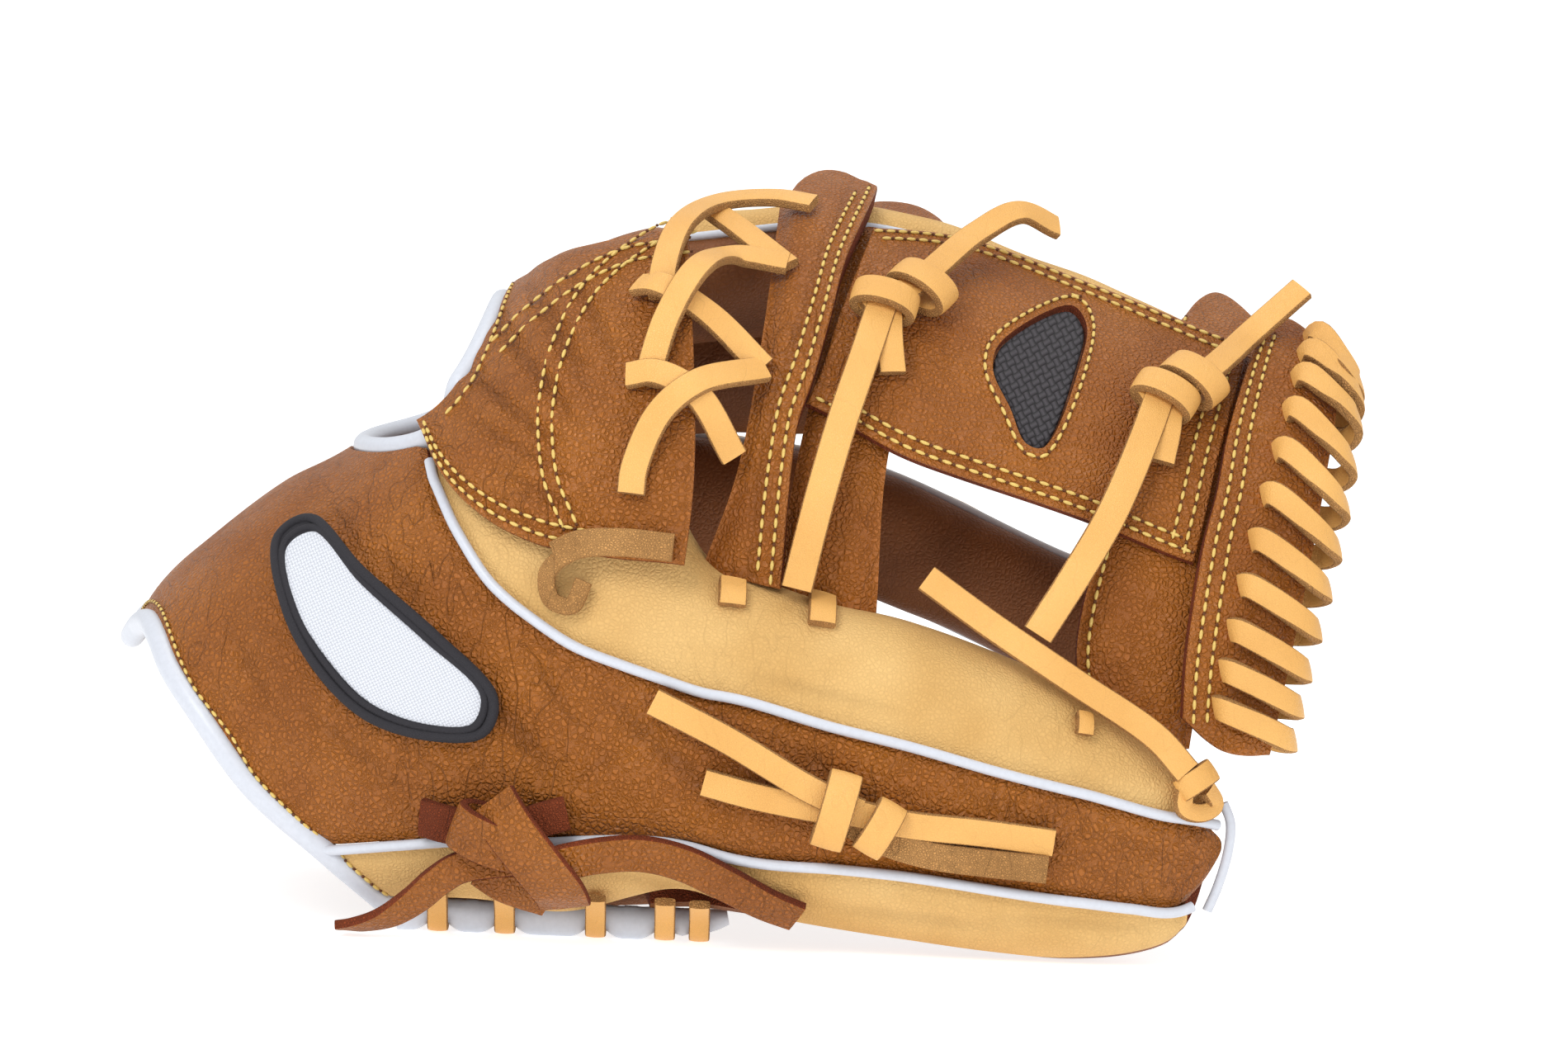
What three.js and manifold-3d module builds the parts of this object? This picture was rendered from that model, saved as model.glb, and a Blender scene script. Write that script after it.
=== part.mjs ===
// Baseball infield glove for the left hand, standing on its heel and lower edge.
// Millimetres. +X runs to the fingertips, -Y is the thumb side, +Z is up, and z = 0 is the floor.
import * as THREE from 'three';
import { mergeVertices } from 'three/addons/utils/BufferGeometryUtils.js';
import Module from 'manifold-3d';

const wasm = await Module();
wasm.setup();

// Driving sizes
const LEATHER = 2.4;
const PALM_PAD = 6;
const LINER = 4;
const GAP = 0.35;
const ROUNDNESS = 0.87;
const WELT_RADIUS = 1.15;
const BINDING_RADIUS = 2.8;
const HEEL_ROLL_RADIUS = 2.5;
const LACE_WIDTH = 6.4;
const LACE_THICK = 2.2;
const TIE_WIDTH = 12;
const HOLE_PLAY = 0.7;
const SHIFT_X = 1.185;
const SHIFT_Y = 5.317;

// The arch of leather over the hand: a row for each section across the glove.
const HAND = table(['x', 'top', 'wide', 'mid', 'low'], [
  [-148, 56, 34, 30, -20],
  [-138, 73, 44, 34, -19],
  [-127, 84, 51, 37, -18],
  [-110, 98, 58, 40, -16],
  [-96, 106, 64, 42, -15],
  [-80, 119, 70, 43, -14],
  [-61, 137, 75, 44, -12],
  [-40, 156, 78, 45, -10],
  [-20, 163.5, 79, 45, -6],
  [0, 166, 79, 45, -4],
]);

// The hollow thumb: a row for each section, with the places of its top and bottom edges.
const THUMB = table(['x', 'top', 'low', 'centre', 'wide'], [
  [-45, 94, 7, -60, 19],
  [-12, 90, 9.4, -60, 20],
  [20, 81, 5.8, -60, 20],
  [40, 77, 3.6, -60, 19.5],
  [62, 70, 1.2, -60, 18.5],
  [80, 62, 0.3, -60, 16.5],
  [98, 51, 3, -60, 12.5],
  [108, 45, 9, -60, 8],
  [115.5, 37, 21, -60, 2.6],
]);

// The face of the palm pad that the ball meets, arched from the heel up to the fingers.
const PALM = table(['x', 'top', 'near', 'far', 'mid', 'low'], [
  [-106, 30, 40, 40, 10, -34],
  [-88, 60, 46, 45, 16, -32],
  [-60, 92, 49, 47, 24, -30],
  [-35, 122, 48, 48, 36, -24],
  [-13, 146, 41, 46, 46, -10],
]);

// The web between thumb and first finger: its lower edge on the thumb and its upper edge.
const WEB = table(['x', 'lowY', 'lowZ', 'topY', 'topZ'], [
  [-12, -62, 86, -2, 166],
  [20, -64, 80, 0, 169],
  [50, -65, 71, 1, 163],
  [80, -65, 61, 1, 155],
  [105, -64, 50, 0, 149],
  [125, -61, 46, -3, 145],
  [145, -56, 48, -8, 138],
]);
const WEB_BELLY = 22;

// The four fingers: centres of the first, middle and last sections, and the lean of each.
const FINGERS = [
  { name: 'index_stall', lean: 48, tip: 124, centres: [[13, 149], [14, 154], [10, 141], [4, 124]] },
  { name: 'middle_stall', lean: 28, tip: 131, centres: [[43, 127], [44, 127], [40, 111], [30, 93]] },
  { name: 'ring_stall', lean: 9, tip: 127, centres: [[58, 94], [59, 88], [54, 69], [42, 52]] },
  { name: 'pinky_stall', lean: 3, tip: 112, centres: [[61, 56], [61, 46], [56, 19.6], [46, 12]] },
];
const FINGER_BASE = -20;
const FINGER_TALL = 34.5;
const FINGER_DEEP = 27;
const FINGER_WALL = 2.4;
const FINGER_PALM = 6.5;

// Seams and edges on the thumb side, as places in the side view [x, z].
const UPPER_SEAM = [[-74, 113.9], [-70.8, 104.7], [-64.5, 94], [-54.9, 82], [-40.2, 72], [-24.4, 66],
  [3.6, 59.2], [40.5, 50.5], [67.3, 43.9], [100.9, 35.8], [112.5, 33.5]];
const LOWER_SEAM = [[-92, 18.6], [-75.9, 21.3], [-54, 24], [-33.9, 25.2], [-0.8, 23.3], [26.4, 21.4],
  [60.7, 18.1], [92.8, 14.5], [107.5, 14.8]];
const BOTTOM_EDGE = [[-72.5, 7.8], [-50, 7.8], [-28, 8], [-8, 0, -1.05], [15, 0, -1.42], [60, 0, -1.45],
  [106.5, 0, -1.3]];
const WRIST_EDGE = [[-77, 4.5], [-88, 14], [-101.5, 24.5], [-115, 37], [-129, 53.5], [-139.5, 66.5]];
const CROTCH_LOW = [[-73.2, 114.5], [-67.3, 105.2], [-58.5, 97.5], [-46, 92.2], [-32.8, 90.3], [-12, 89]];
const CROTCH_RIGHT = [[-12, 89], [-10.8, 103], [-10.8, 118], [-12.5, 141], [-14.5, 160]];

function table(columns, rows) {
  return { columns, rows };
}

function blendAt(xs, ys, x) {
  const last = xs.length - 1;
  let i = 0;
  while (i < last - 1 && x > xs[i + 1]) i += 1;
  const slope = (k) => {
    const a = Math.max(0, k - 1);
    const b = Math.min(last, k + 1);
    return (ys[b] - ys[a]) / (xs[b] - xs[a]);
  };
  const span = xs[i + 1] - xs[i];
  const t = Math.min(1, Math.max(0, (x - xs[i]) / span));
  const t2 = t * t;
  const t3 = t2 * t;
  return (2 * t3 - 3 * t2 + 1) * ys[i] + (t3 - 2 * t2 + t) * span * slope(i)
    + (3 * t2 - 2 * t3) * ys[i + 1] + (t3 - t2) * span * slope(i + 1);
}

function sectionOf(tab, x) {
  const xs = tab.rows.map((row) => row[0]);
  const section = {};
  tab.columns.forEach((name, c) => {
    section[name] = c === 0 ? x : blendAt(xs, tab.rows.map((row) => row[c]), x);
  });
  return section;
}

function mix(a, b, t) {
  return a + (b - a) * t;
}

function smooth(x, from, to) {
  const t = Math.min(1, Math.max(0, (x - from) / (to - from)));
  return t * t * (3 - 2 * t);
}

function power(value) {
  return Math.sign(value) * Math.abs(value) ** ROUNDNESS;
}

// A shell is a closed section that changes along x. Angle 0 faces the thumb side, 90 degrees is up.
function shell(sectionAt) {
  return {
    point(x, angle) {
      const s = sectionAt(x);
      const side = Math.cos(angle) > 0 ? s.near : s.far;
      const rise = Math.sin(angle) > 0 ? s.top - s.mid : s.mid - s.low;
      return new THREE.Vector3(x, s.centre - side * power(Math.cos(angle)),
        s.mid + rise * power(Math.sin(angle)));
    },
    angleAt(x, z) {
      const s = sectionAt(x);
      const t = z > s.mid ? (z - s.mid) / (s.top - s.mid) : (z - s.mid) / (s.mid - s.low);
      const clipped = Math.min(1, Math.abs(t)) ** (1 / ROUNDNESS);
      return Math.sign(t) * Math.asin(clipped);
    },
  };
}

const handShell = shell((x) => {
  const s = sectionOf(HAND, x);
  return { centre: 0, near: s.wide, far: s.wide, top: s.top, mid: s.mid, low: s.low };
});

const thumbShell = shell((x) => {
  const h = sectionOf(HAND, Math.min(0, x));
  const t = sectionOf(THUMB, Math.max(-45, x));
  const k = smooth(x, -48, -4);
  return {
    centre: mix(0, t.centre, k), near: mix(h.wide, t.wide, k), far: mix(h.wide, t.wide, k),
    top: mix(h.top, t.top, k), mid: mix(h.mid, (t.top + t.low) / 2, k), low: mix(h.low, t.low, k),
  };
});

const palmShell = shell((x) => {
  const s = sectionOf(PALM, x);
  return { centre: 0, near: s.near, far: s.far, top: s.top, mid: s.mid, low: s.low };
});

// The web is a bowed sheet: "angle" here runs from 0 on the thumb to 1 at its upper edge.
const webShell = {
  point(x, t) {
    const s = sectionOf(WEB, x);
    const bow = WEB_BELLY * 4 * t * (1 - t);
    return new THREE.Vector3(x, mix(s.lowY, s.topY, t) - 0.75 * bow, mix(s.lowZ, s.topZ, t) + 0.5 * bow);
  },
  angleAt(x, z) {
    let low = -0.4;
    let high = 1.3;
    for (let i = 0; i < 30; i += 1) {
      const middle = (low + high) / 2;
      if (webShell.point(x, middle).z < z) low = middle;
      else high = middle;
    }
    return (low + high) / 2;
  },
};

// Places of the side view shifted sideways by "aside", to the left of their direction.
function shifted(points, aside) {
  return points.map(([x, z], i) => {
    const before = points[Math.max(0, i - 1)];
    const after = points[Math.min(points.length - 1, i + 1)];
    const dx = after[0] - before[0];
    const dz = after[1] - before[1];
    const length = Math.hypot(dx, dz);
    return [x - (dz / length) * aside, z + (dx / length) * aside];
  });
}

// An edge that runs along x through places of the side view.
function edge(surface, points) {
  const xs = points.map((p) => p[0]);
  const angles = points.map((p) => (p.length > 2 ? p[2] : surface.angleAt(p[0], p[1])));
  return (t) => {
    const x = mix(xs[0], xs[xs.length - 1], t);
    return [x, blendAt(xs, angles, x)];
  };
}

// An edge that rises through places of the side view.
function rise(surface, points) {
  const zs = points.map((p) => p[1]);
  return (t) => {
    const z = mix(zs[0], zs[zs.length - 1], t);
    const x = blendAt(zs, points.map((p) => p[0]), z);
    return [x, surface.angleAt(x, z)];
  };
}

function straight(from, to) {
  return (t) => [mix(from[0], to[0], t), mix(from[1], to[1], t)];
}

function closedGeometry(vertices, triangles) {
  let volume = 0;
  const a = new THREE.Vector3();
  triangles.forEach(([i, j, k]) => {
    volume += vertices[i].dot(a.crossVectors(vertices[j], vertices[k]));
  });
  const index = volume > 0 ? triangles.flat() : triangles.map(([i, j, k]) => [i, k, j]).flat();
  const geometry = new THREE.BufferGeometry();
  geometry.setAttribute('position',
    new THREE.Float32BufferAttribute(vertices.flatMap((v) => [v.x, v.y, v.z]), 3));
  geometry.setIndex(index);
  return geometry;
}

// A sheet of leather between four edge lines, given in the shell's own x and angle.
// "dense" names a stretch of u, from 0 to 1, where the rows of points lie closer.
function sheet({ surface, low, high, left, right, across = 5, along = 16, thick = LEATHER, lift = 0,
  dense = [0, 0] }) {
  const corner = [low(0), low(1), high(0), high(1)];
  const place = (u, v) => [0, 1].map((c) => mix(low(u)[c], high(u)[c], v) + mix(left(v)[c], right(v)[c], u)
    - mix(mix(corner[0][c], corner[1][c], u), mix(corner[2][c], corner[3][c], u), v));
  const at = (u, v) => surface.point(...place(u, v));
  const step = 0.01;
  const outside = [];
  const inside = [];
  const spacing = spread(along, dense);
  for (let i = 0; i <= along; i += 1) {
    for (let j = 0; j <= across; j += 1) {
      const u = spacing[i];
      const v = j / across;
      const du = at(Math.min(1, u + step), v).sub(at(Math.max(0, u - step), v));
      const dv = at(u, Math.min(1, v + step)).sub(at(u, Math.max(0, v - step)));
      const normal = du.cross(dv).normalize();
      const p = at(u, v);
      outside.push(p.clone().addScaledVector(normal, lift));
      inside.push(p.clone().addScaledVector(normal, lift - thick));
    }
  }
  return grids(outside, inside, along, across);
}

// Fractions from 0 to 1 that lie four times closer inside the dense stretch.
function spread(count, [from, to]) {
  const weight = (u) => u + 3 * (Math.min(to, Math.max(from, u)) - from);
  const total = weight(1);
  return Array.from({ length: count + 1 }, (_, i) => {
    const target = (total * i) / count;
    if (target <= from) return target;
    if (target <= from + 4 * (to - from)) return from + (target - from) / 4;
    return target - 3 * (to - from);
  });
}

// Two grids of points, front and back, closed round their edges.
function grids(front, back, along, across) {
  const count = front.length;
  const row = across + 1;
  const faces = [];
  const quad = (a, b, c, d) => faces.push([a, b, c], [a, c, d]);
  for (let i = 0; i < along; i += 1) {
    for (let j = 0; j < across; j += 1) {
      const a = i * row + j;
      quad(a, a + row, a + row + 1, a + 1);
      quad(count + a, count + a + 1, count + a + row + 1, count + a + row);
    }
    const first = i * row;
    const last = first + across;
    quad(first, count + first, count + first + row, first + row);
    quad(last + row, count + last + row, count + last, last);
  }
  for (let j = 0; j < across; j += 1) {
    const end = along * row + j;
    quad(j + 1, count + j + 1, count + j, j);
    quad(end, count + end, count + end + 1, end + 1);
  }
  return closedGeometry([...front, ...back], faces);
}

// A section swept along a route. "facing" gives the direction that its broad side looks.
function sweep(route, facing, section, closed = false) {
  const count = route.length;
  const sides = section.length;
  const vertices = [];
  route.forEach((p, i) => {
    const before = route[closed ? (i + count - 1) % count : Math.max(0, i - 1)];
    const after = route[closed ? (i + 1) % count : Math.min(count - 1, i + 1)];
    const tangent = after.clone().sub(before).normalize();
    const out = facing[i].clone().addScaledVector(tangent, -facing[i].dot(tangent)).normalize();
    const aside = tangent.clone().cross(out);
    section.forEach(([w, h]) => vertices.push(p.clone().addScaledVector(aside, w).addScaledVector(out, h)));
  });
  const faces = [];
  const rings = closed ? count : count - 1;
  for (let i = 0; i < rings; i += 1) {
    for (let k = 0; k < sides; k += 1) {
      const a = i * sides + k;
      const b = i * sides + ((k + 1) % sides);
      const c = ((i + 1) % count) * sides + ((k + 1) % sides);
      const d = ((i + 1) % count) * sides + k;
      faces.push([a, b, c], [a, c, d]);
    }
  }
  if (!closed) {
    for (let k = 1; k < sides - 1; k += 1) {
      faces.push([0, k + 1, k]);
      faces.push([(count - 1) * sides, (count - 1) * sides + k, (count - 1) * sides + k + 1]);
    }
  }
  return closedGeometry(vertices, faces);
}

function round(radius, sides = 6) {
  return Array.from({ length: sides }, (_, k) => {
    const a = (2 * Math.PI * (k + 0.5)) / sides;
    return [radius * Math.cos(a), radius * Math.sin(a)];
  });
}

function flat(width, thick) {
  const [w, h] = [width / 2, thick / 2];
  return [[-w, -h], [w, -h], [w, h], [-w, h]];
}

function normalAt(surface, x, angle) {
  const d = 0.02;
  const dx = surface.point(x + 0.5, angle).sub(surface.point(x - 0.5, angle));
  const da = surface.point(x, angle + d).sub(surface.point(x, angle - d));
  return dx.cross(da).normalize();
}

// A route lies over a shell at [x, z, lift], or passes a free place in the air.
// It returns its points and the way each one faces.
function lay(surface, rows, steps, closed = false) {
  const knots = [];
  const faces = [];
  rows.forEach((row) => {
    if (row.free) {
      knots.push(new THREE.Vector3(...row.free));
      faces.push(new THREE.Vector3(0, -0.7, 0.7));
      return;
    }
    const [x, z, lift] = row;
    const angle = surface.angleAt(x, z);
    const normal = normalAt(surface, x, angle);
    knots.push(surface.point(x, angle).addScaledVector(normal, lift));
    faces.push(normal);
  });
  return curveThrough(knots, faces, steps, closed);
}

function curveThrough(knots, faces, steps, closed = false) {
  const path = new THREE.CatmullRomCurve3(knots, closed, 'centripetal');
  const turn = new THREE.CatmullRomCurve3(faces, closed, 'centripetal');
  const route = [];
  const facing = [];
  for (let i = 0; i < steps + (closed ? 0 : 1); i += 1) {
    route.push(path.getPoint(i / steps));
    facing.push(turn.getPoint(i / steps).normalize());
  }
  return { route, facing };
}

function toSolid(geometry) {
  const bare = geometry.clone();
  bare.deleteAttribute('normal');
  bare.deleteAttribute('uv');
  const merged = mergeVertices(bare, 1e-4);
  const solid = new wasm.Manifold(new wasm.Mesh({
    numProp: 3,
    vertProperties: new Float32Array(merged.attributes.position.array),
    triVerts: new Uint32Array(merged.index.array),
  }));
  return solid;
}

function toGeometry(solid) {
  const mesh = solid.getMesh();
  const geometry = new THREE.BufferGeometry();
  geometry.setAttribute('position', new THREE.BufferAttribute(new Float32Array(mesh.vertProperties), 3));
  geometry.setIndex(new THREE.BufferAttribute(new Uint32Array(mesh.triVerts), 1));
  return geometry;
}

function join(...geometries) {
  return toGeometry(geometries.map(toSolid).reduce((a, b) => a.add(b)));
}

// Cuts the tools out and keeps the main piece, without the slivers that fall off.
function cut(geometry, ...tools) {
  const whole = tools.map(toSolid).reduce((a, b) => a.subtract(b), toSolid(geometry));
  const pieces = whole.decompose().sort((a, b) => b.volume() - a.volume());
  return toGeometry(pieces[0]);
}

const FINISH = {
  brown: { color: '#a5612a', roughness: 0.55, metalness: 0 },
  palm: { color: '#8f5426', roughness: 0.6, metalness: 0 },
  tan: { color: '#e0bd88', roughness: 0.8, metalness: 0 },
  lace: { color: '#f2c982', roughness: 0.6, metalness: 0 },
  white: { color: '#f1f3f7', roughness: 0.45, metalness: 0 },
  patch: { color: '#26242a', roughness: 0.9, metalness: 0 },
};

const glove = new THREE.Group();

function place(name, geometry, finish) {
  const mesh = new THREE.Mesh(geometry, new THREE.MeshStandardMaterial(FINISH[finish]));
  mesh.name = name;
  mesh.position.set(SHIFT_X, SHIFT_Y, 0);
  glove.add(mesh);
  return mesh;
}

const SEAM = WELT_RADIUS + GAP;
const HALF_TURN = Math.PI / 2;

// The seam on top between the thumb side and the back of the hand, as an angle of the arch.
function topSeam(x) {
  return mix(1.8, 1.47, smooth(x, -64, -34));
}

function seamLine(from, to, aside) {
  const xs = Array.from({ length: 7 }, (_, i) => mix(from, to, i / 6));
  return xs.map((x) => [x, 0, topSeam(x) + aside]);
}

// The open back: an oval that is cut square to the slope of the back of the hand.
const OPENING = { x: -72, z: 123, long: 23.7, wide: 42, slope: Math.atan2(0.6, 0.8) };

function openingTool(grow) {
  const oval = new THREE.Shape();
  oval.absellipse(0, 0, OPENING.long + grow, OPENING.wide + grow, 0, 2 * Math.PI, false, 0);
  const tool = new THREE.ExtrudeGeometry(oval, { depth: 90, bevelEnabled: false, curveSegments: 16 });
  tool.translate(0, 0, -45);
  tool.rotateY(-OPENING.slope);
  tool.translate(OPENING.x, 0, OPENING.z);
  return tool;
}

function openingRoute(count) {
  const route = [];
  const facing = [];
  for (let i = 0; i < count; i += 1) {
    const a = (2 * Math.PI * i) / count;
    const y = OPENING.wide * Math.sin(a);
    const along = OPENING.long * Math.cos(a);
    let low = -40;
    let high = 60;
    for (let k = 0; k < 30; k += 1) {
      const up = (low + high) / 2;
      const x = OPENING.x + along * Math.cos(OPENING.slope) - up * Math.sin(OPENING.slope);
      const z = OPENING.z + along * Math.sin(OPENING.slope) + up * Math.cos(OPENING.slope);
      if (insideHand(x, y, z)) low = up;
      else high = up;
    }
    const x = OPENING.x + along * Math.cos(OPENING.slope) - low * Math.sin(OPENING.slope);
    const z = OPENING.z + along * Math.sin(OPENING.slope) + low * Math.cos(OPENING.slope);
    route.push(new THREE.Vector3(x + 0.6 * LEATHER * Math.sin(OPENING.slope), y,
      z - 0.6 * LEATHER * Math.cos(OPENING.slope)));
    facing.push(new THREE.Vector3(-Math.sin(OPENING.slope), 0, Math.cos(OPENING.slope)));
  }
  return { route, facing };
}

function insideHand(x, y, z) {
  const s = sectionOf(HAND, x);
  const t = Math.max(0, (z - s.mid) / (s.top - s.mid));
  return t ** (2 / ROUNDNESS) + Math.abs(y / s.wide) ** (2 / ROUNDNESS) < 1;
}

// Where the wrist edge lies along x, for an angle of the arch; the far side mirrors the thumb side.
const WRIST_INSET = 4.2;
function wristX(angle) {
  const turned = angle > HALF_TURN ? Math.PI - angle : angle;
  const angles = [...WRIST_EDGE.map(([x, z]) => handShell.angleAt(x, z)), HALF_TURN];
  return blendAt(angles, [...WRIST_EDGE.map((p) => p[0]), -145.5], turned);
}

function wristSide(fromAngle, toAngle) {
  return (t) => {
    const angle = mix(fromAngle, toAngle, t);
    return [wristX(angle) + WRIST_INSET, angle];
  };
}

// Brown panel from the wrist along the back of the thumb to its tip.
function backPanel() {
  const rimAngles = [[-141, 0, 1.79], [-125, 0, 1.79], [-104, 0, 1.79], [-95, 0, 1.7], [-86, 0, 1.4],
    [-79, 0, 1.15]];
  const corner = [-90.5, 20.6];
  const panel = sheet({
    surface: thumbShell,
    low: edge(thumbShell, [corner, ...shifted(LOWER_SEAM, SEAM).slice(1)]),
    high: edge(thumbShell, [...rimAngles, ...shifted(UPPER_SEAM, -SEAM)]),
    left: wristSide(thumbShell.angleAt(...corner), 1.79),
    right: rise(thumbShell, [[107.5, 16.4], [111.5, 22], [112.3, 32]]),
    along: 22,
    across: 5,
    dense: [0.26, 0.36],
  });
  return cut(panel, openingTool(BINDING_RADIUS + GAP), weltTool());
}

function weltTool() {
  return cord(thumbShell, UPPER_SEAM, -LEATHER / 2, SEAM * 1.35, 24, [0, 0.12]);
}

function lowerBand() {
  return sheet({
    surface: thumbShell,
    low: edge(thumbShell, BOTTOM_EDGE),
    high: edge(thumbShell, [[-86.2, 17], ...shifted(LOWER_SEAM, -SEAM).slice(1)]),
    left: rise(thumbShell, [[-72.5, 7.8], [-77.5, 12], [-86.2, 17]]),
    right: straight([106.5, -1.3], [107.6, thumbShell.angleAt(107.6, 13.2)]),
    along: 22,
    across: 3,
  });
}

function upperBand() {
  const under = crotchSheet(0.4, LEATHER + 0.8);
  const low = [[-72.8, 113.9], ...shifted(UPPER_SEAM, SEAM).slice(1)];
  const turned = [[-68, 108.4], [-58, 100.6], [-44, 98], [-30, 96]];
  const band = sheet({
    surface: thumbShell,
    low: edge(thumbShell, low),
    high: edge(thumbShell, [...turned, [-12, 0, 1.62], [10, 0, 1.9], [40, 0, 2.1], [80, 0, 2.1],
      [111.5, 0, 1.9]]),
    left: straight([-72.8, thumbShell.angleAt(-72.8, 113.9)], [-68, thumbShell.angleAt(-68, 108.4)]),
    right: straight([112.5, thumbShell.angleAt(112.5, 35.5)], [111.5, 1.9]),
    along: 20,
    across: 3,
    dense: [0, 0.12],
  });
  return cut(band, openingTool(BINDING_RADIUS + GAP), weltTool(), under);
}

// Brown panel between the thumb and the first finger, laid over the tan band.
function crotchSheet(above, thick) {
  return sheet({
    surface: handShell,
    low: edge(handShell, [[-80, 118], ...CROTCH_LOW]),
    high: edge(handShell, seamLine(-80, -14.5, -0.012)),
    left: straight([-80, handShell.angleAt(-80, 118)], [-80, topSeam(-80) - 0.012]),
    right: rise(handShell, CROTCH_RIGHT),
    along: 10,
    across: 6,
    lift: LEATHER + 1.6 + above,
    thick,
  });
}

function crotchPanel() {
  return cut(crotchSheet(0, LEATHER), openingTool(BINDING_RADIUS + GAP));
}

// The back of the hand from the wrist strap to the fingers, with its foot on the little finger side.
function handBack() {
  const footAngles = [[-80, 2.5], [-60, 0], [-44, 6], [FINGER_BASE - 1, 40]];
  const foot = footAngles.map(([x, z]) => [x, 0, Math.PI - handShell.angleAt(x, z)]);
  const back = sheet({
    surface: handShell,
    low: edge(handShell, seamLine(-141, FINGER_BASE - 1, 0.012)),
    high: edge(handShell, foot),
    left: wristSide(topSeam(-141) + 0.012, foot[0][2]),
    right: straight([FINGER_BASE - 1, topSeam(-20) + 0.012], [FINGER_BASE - 1, foot[3][2]]),
    along: 11,
    across: 9,
  });
  return cut(back, openingTool(BINDING_RADIUS + GAP), floorTool());
}

function floorTool() {
  const below = new THREE.BoxGeometry(400, 300, 20);
  below.translate(0, 0, -10);
  return below;
}

// The padded palm with the palm side of the thumb.
function palm() {
  const nearFoot = [[-72, 7.8], [-50, 7.8], [-28, 8], [-12.5, 8]];
  const farFoot = [[-76, -1], [-58, -1], [-44, 5], [FINGER_BASE - 1, 42]];
  const low = nearFoot.map(([x, z]) => [x, 0, palmShell.angleAt(x, z)]);
  const high = farFoot.map(([x, z]) => [x, 0, Math.PI - palmShell.angleAt(x, z)]);
  const hollow = sheet({
    surface: palmShell,
    low: edge(palmShell, low),
    high: edge(palmShell, high),
    left: (t) => [-75 - 27 * Math.sin(Math.PI * t), mix(low[0][2], high[0][2], t)],
    right: (t) => [FINGER_BASE - 1 + 8.5 * (1 - smooth(t, 0.3, 0.45)), mix(low[3][2], high[3][2], t)],
    along: 8,
    across: 12,
    lift: PALM_PAD - 1,
    thick: PALM_PAD,
  });
  const lobe = sheet({
    surface: thumbShell,
    low: edge(thumbShell, [[-17, 0, 1.75], [10, 0, 2.03], [40, 0, 2.22], [80, 0, 2.22], [110, 0, 2.05]]),
    high: edge(thumbShell, [[-17, 0, 5], [15, 0, 4.82], [60, 0, 4.79], [105, 0, 4.9]]),
    left: straight([-17, 1.75], [-17, 5.0]),
    right: (t) => [mix(110, 105, t) + 4 * Math.sin(Math.PI * t), mix(2.05, 4.9, t)],
    along: 10,
    across: 5,
    thick: LINER,
  });
  return cut(join(hollow, lobe), floorTool());
}

place('back_panel', backPanel(), 'brown');
place('thumb_band_lower', lowerBand(), 'tan');
place('thumb_band_upper', upperBand(), 'tan');
place('crotch_panel', crotchPanel(), 'brown');
place('hand_back', handBack(), 'brown');
place('palm', palm(), 'palm');

// A finger is a tube of tall oval sections, closed at its tip.
function fingerSolid(finger, shrinkBack, shrinkPalm, from, to) {
  const stations = [0, 0.27, 0.54, 0.78, 0.89, 0.96, 1];
  const sides = 12;
  const xs = finger.centres.map((_, i) => mix(FINGER_BASE, finger.tip, i / 3));
  const lean = THREE.MathUtils.degToRad(finger.lean);
  const vertices = [];
  stations.forEach((t) => {
    const x = mix(from, to, t);
    const s = Math.min(1, Math.max(0, (x - FINGER_BASE) / (finger.tip - FINGER_BASE)));
    const y = blendAt(xs, finger.centres.map((c) => c[0]), x);
    const z = blendAt(xs, finger.centres.map((c) => c[1]), x);
    const tipRound = Math.sqrt(1 - Math.max(0, (t - 0.76) / 0.25) ** 2.2);
    const tall = (FINGER_TALL / 2 - shrinkBack) * (1 - 0.1 * s) * tipRound;
    const back = (FINGER_DEEP / 2 - shrinkBack) * (1 - 0.08 * s) * tipRound;
    const front = (FINGER_DEEP / 2 - shrinkPalm) * (1 - 0.08 * s) * tipRound;
    for (let k = 0; k < sides; k += 1) {
      const a = (2 * Math.PI * (k + 0.5)) / sides;
      const h = tall * power(Math.sin(a));
      const d = Math.cos(a) > 0 ? back * power(Math.cos(a)) : front * power(Math.cos(a));
      vertices.push(new THREE.Vector3(x, y + d * Math.cos(lean) - h * Math.sin(lean),
        z + d * Math.sin(lean) + h * Math.cos(lean)));
    }
  });
  const faces = [];
  for (let i = 0; i < stations.length - 1; i += 1) {
    for (let k = 0; k < sides; k += 1) {
      const a = i * sides + k;
      const b = i * sides + ((k + 1) % sides);
      faces.push([a, b, b + sides], [a, b + sides, a + sides]);
    }
  }
  const end = (stations.length - 1) * sides;
  for (let k = 1; k < sides - 1; k += 1) {
    faces.push([0, k + 1, k]);
    faces.push([end, end + k, end + k + 1]);
  }
  return closedGeometry(vertices, faces);
}

FINGERS.forEach((finger) => {
  const outer = fingerSolid(finger, 0, 0, FINGER_BASE, finger.tip);
  const hollow = fingerSolid(finger, FINGER_WALL, FINGER_PALM, FINGER_BASE - 5, finger.tip - FINGER_PALM);
  place(finger.name, cut(outer, hollow, floorTool()), 'tan');
});

// A round cord that follows an edge line of a shell.
function cord(surface, points, lift, radius, steps, dense) {
  const lineAt = edge(surface, points);
  const route = [];
  const facing = [];
  spread(steps, dense).forEach((t) => {
    const [x, angle] = lineAt(t);
    const normal = normalAt(surface, x, angle);
    route.push(surface.point(x, angle).addScaledVector(normal, lift));
    facing.push(normal);
  });
  return sweep(route, facing, round(radius));
}

place('welt_upper', cord(thumbShell, [[-72.2, 108.5], ...UPPER_SEAM.slice(1)], 0, WELT_RADIUS, 26,
  [0, 0.12]), 'white');
place('welt_lower', cord(thumbShell, [[-87, 19.4], ...LOWER_SEAM.slice(1)], 0, WELT_RADIUS, 22, [0, 0]),
  'white');

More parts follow.
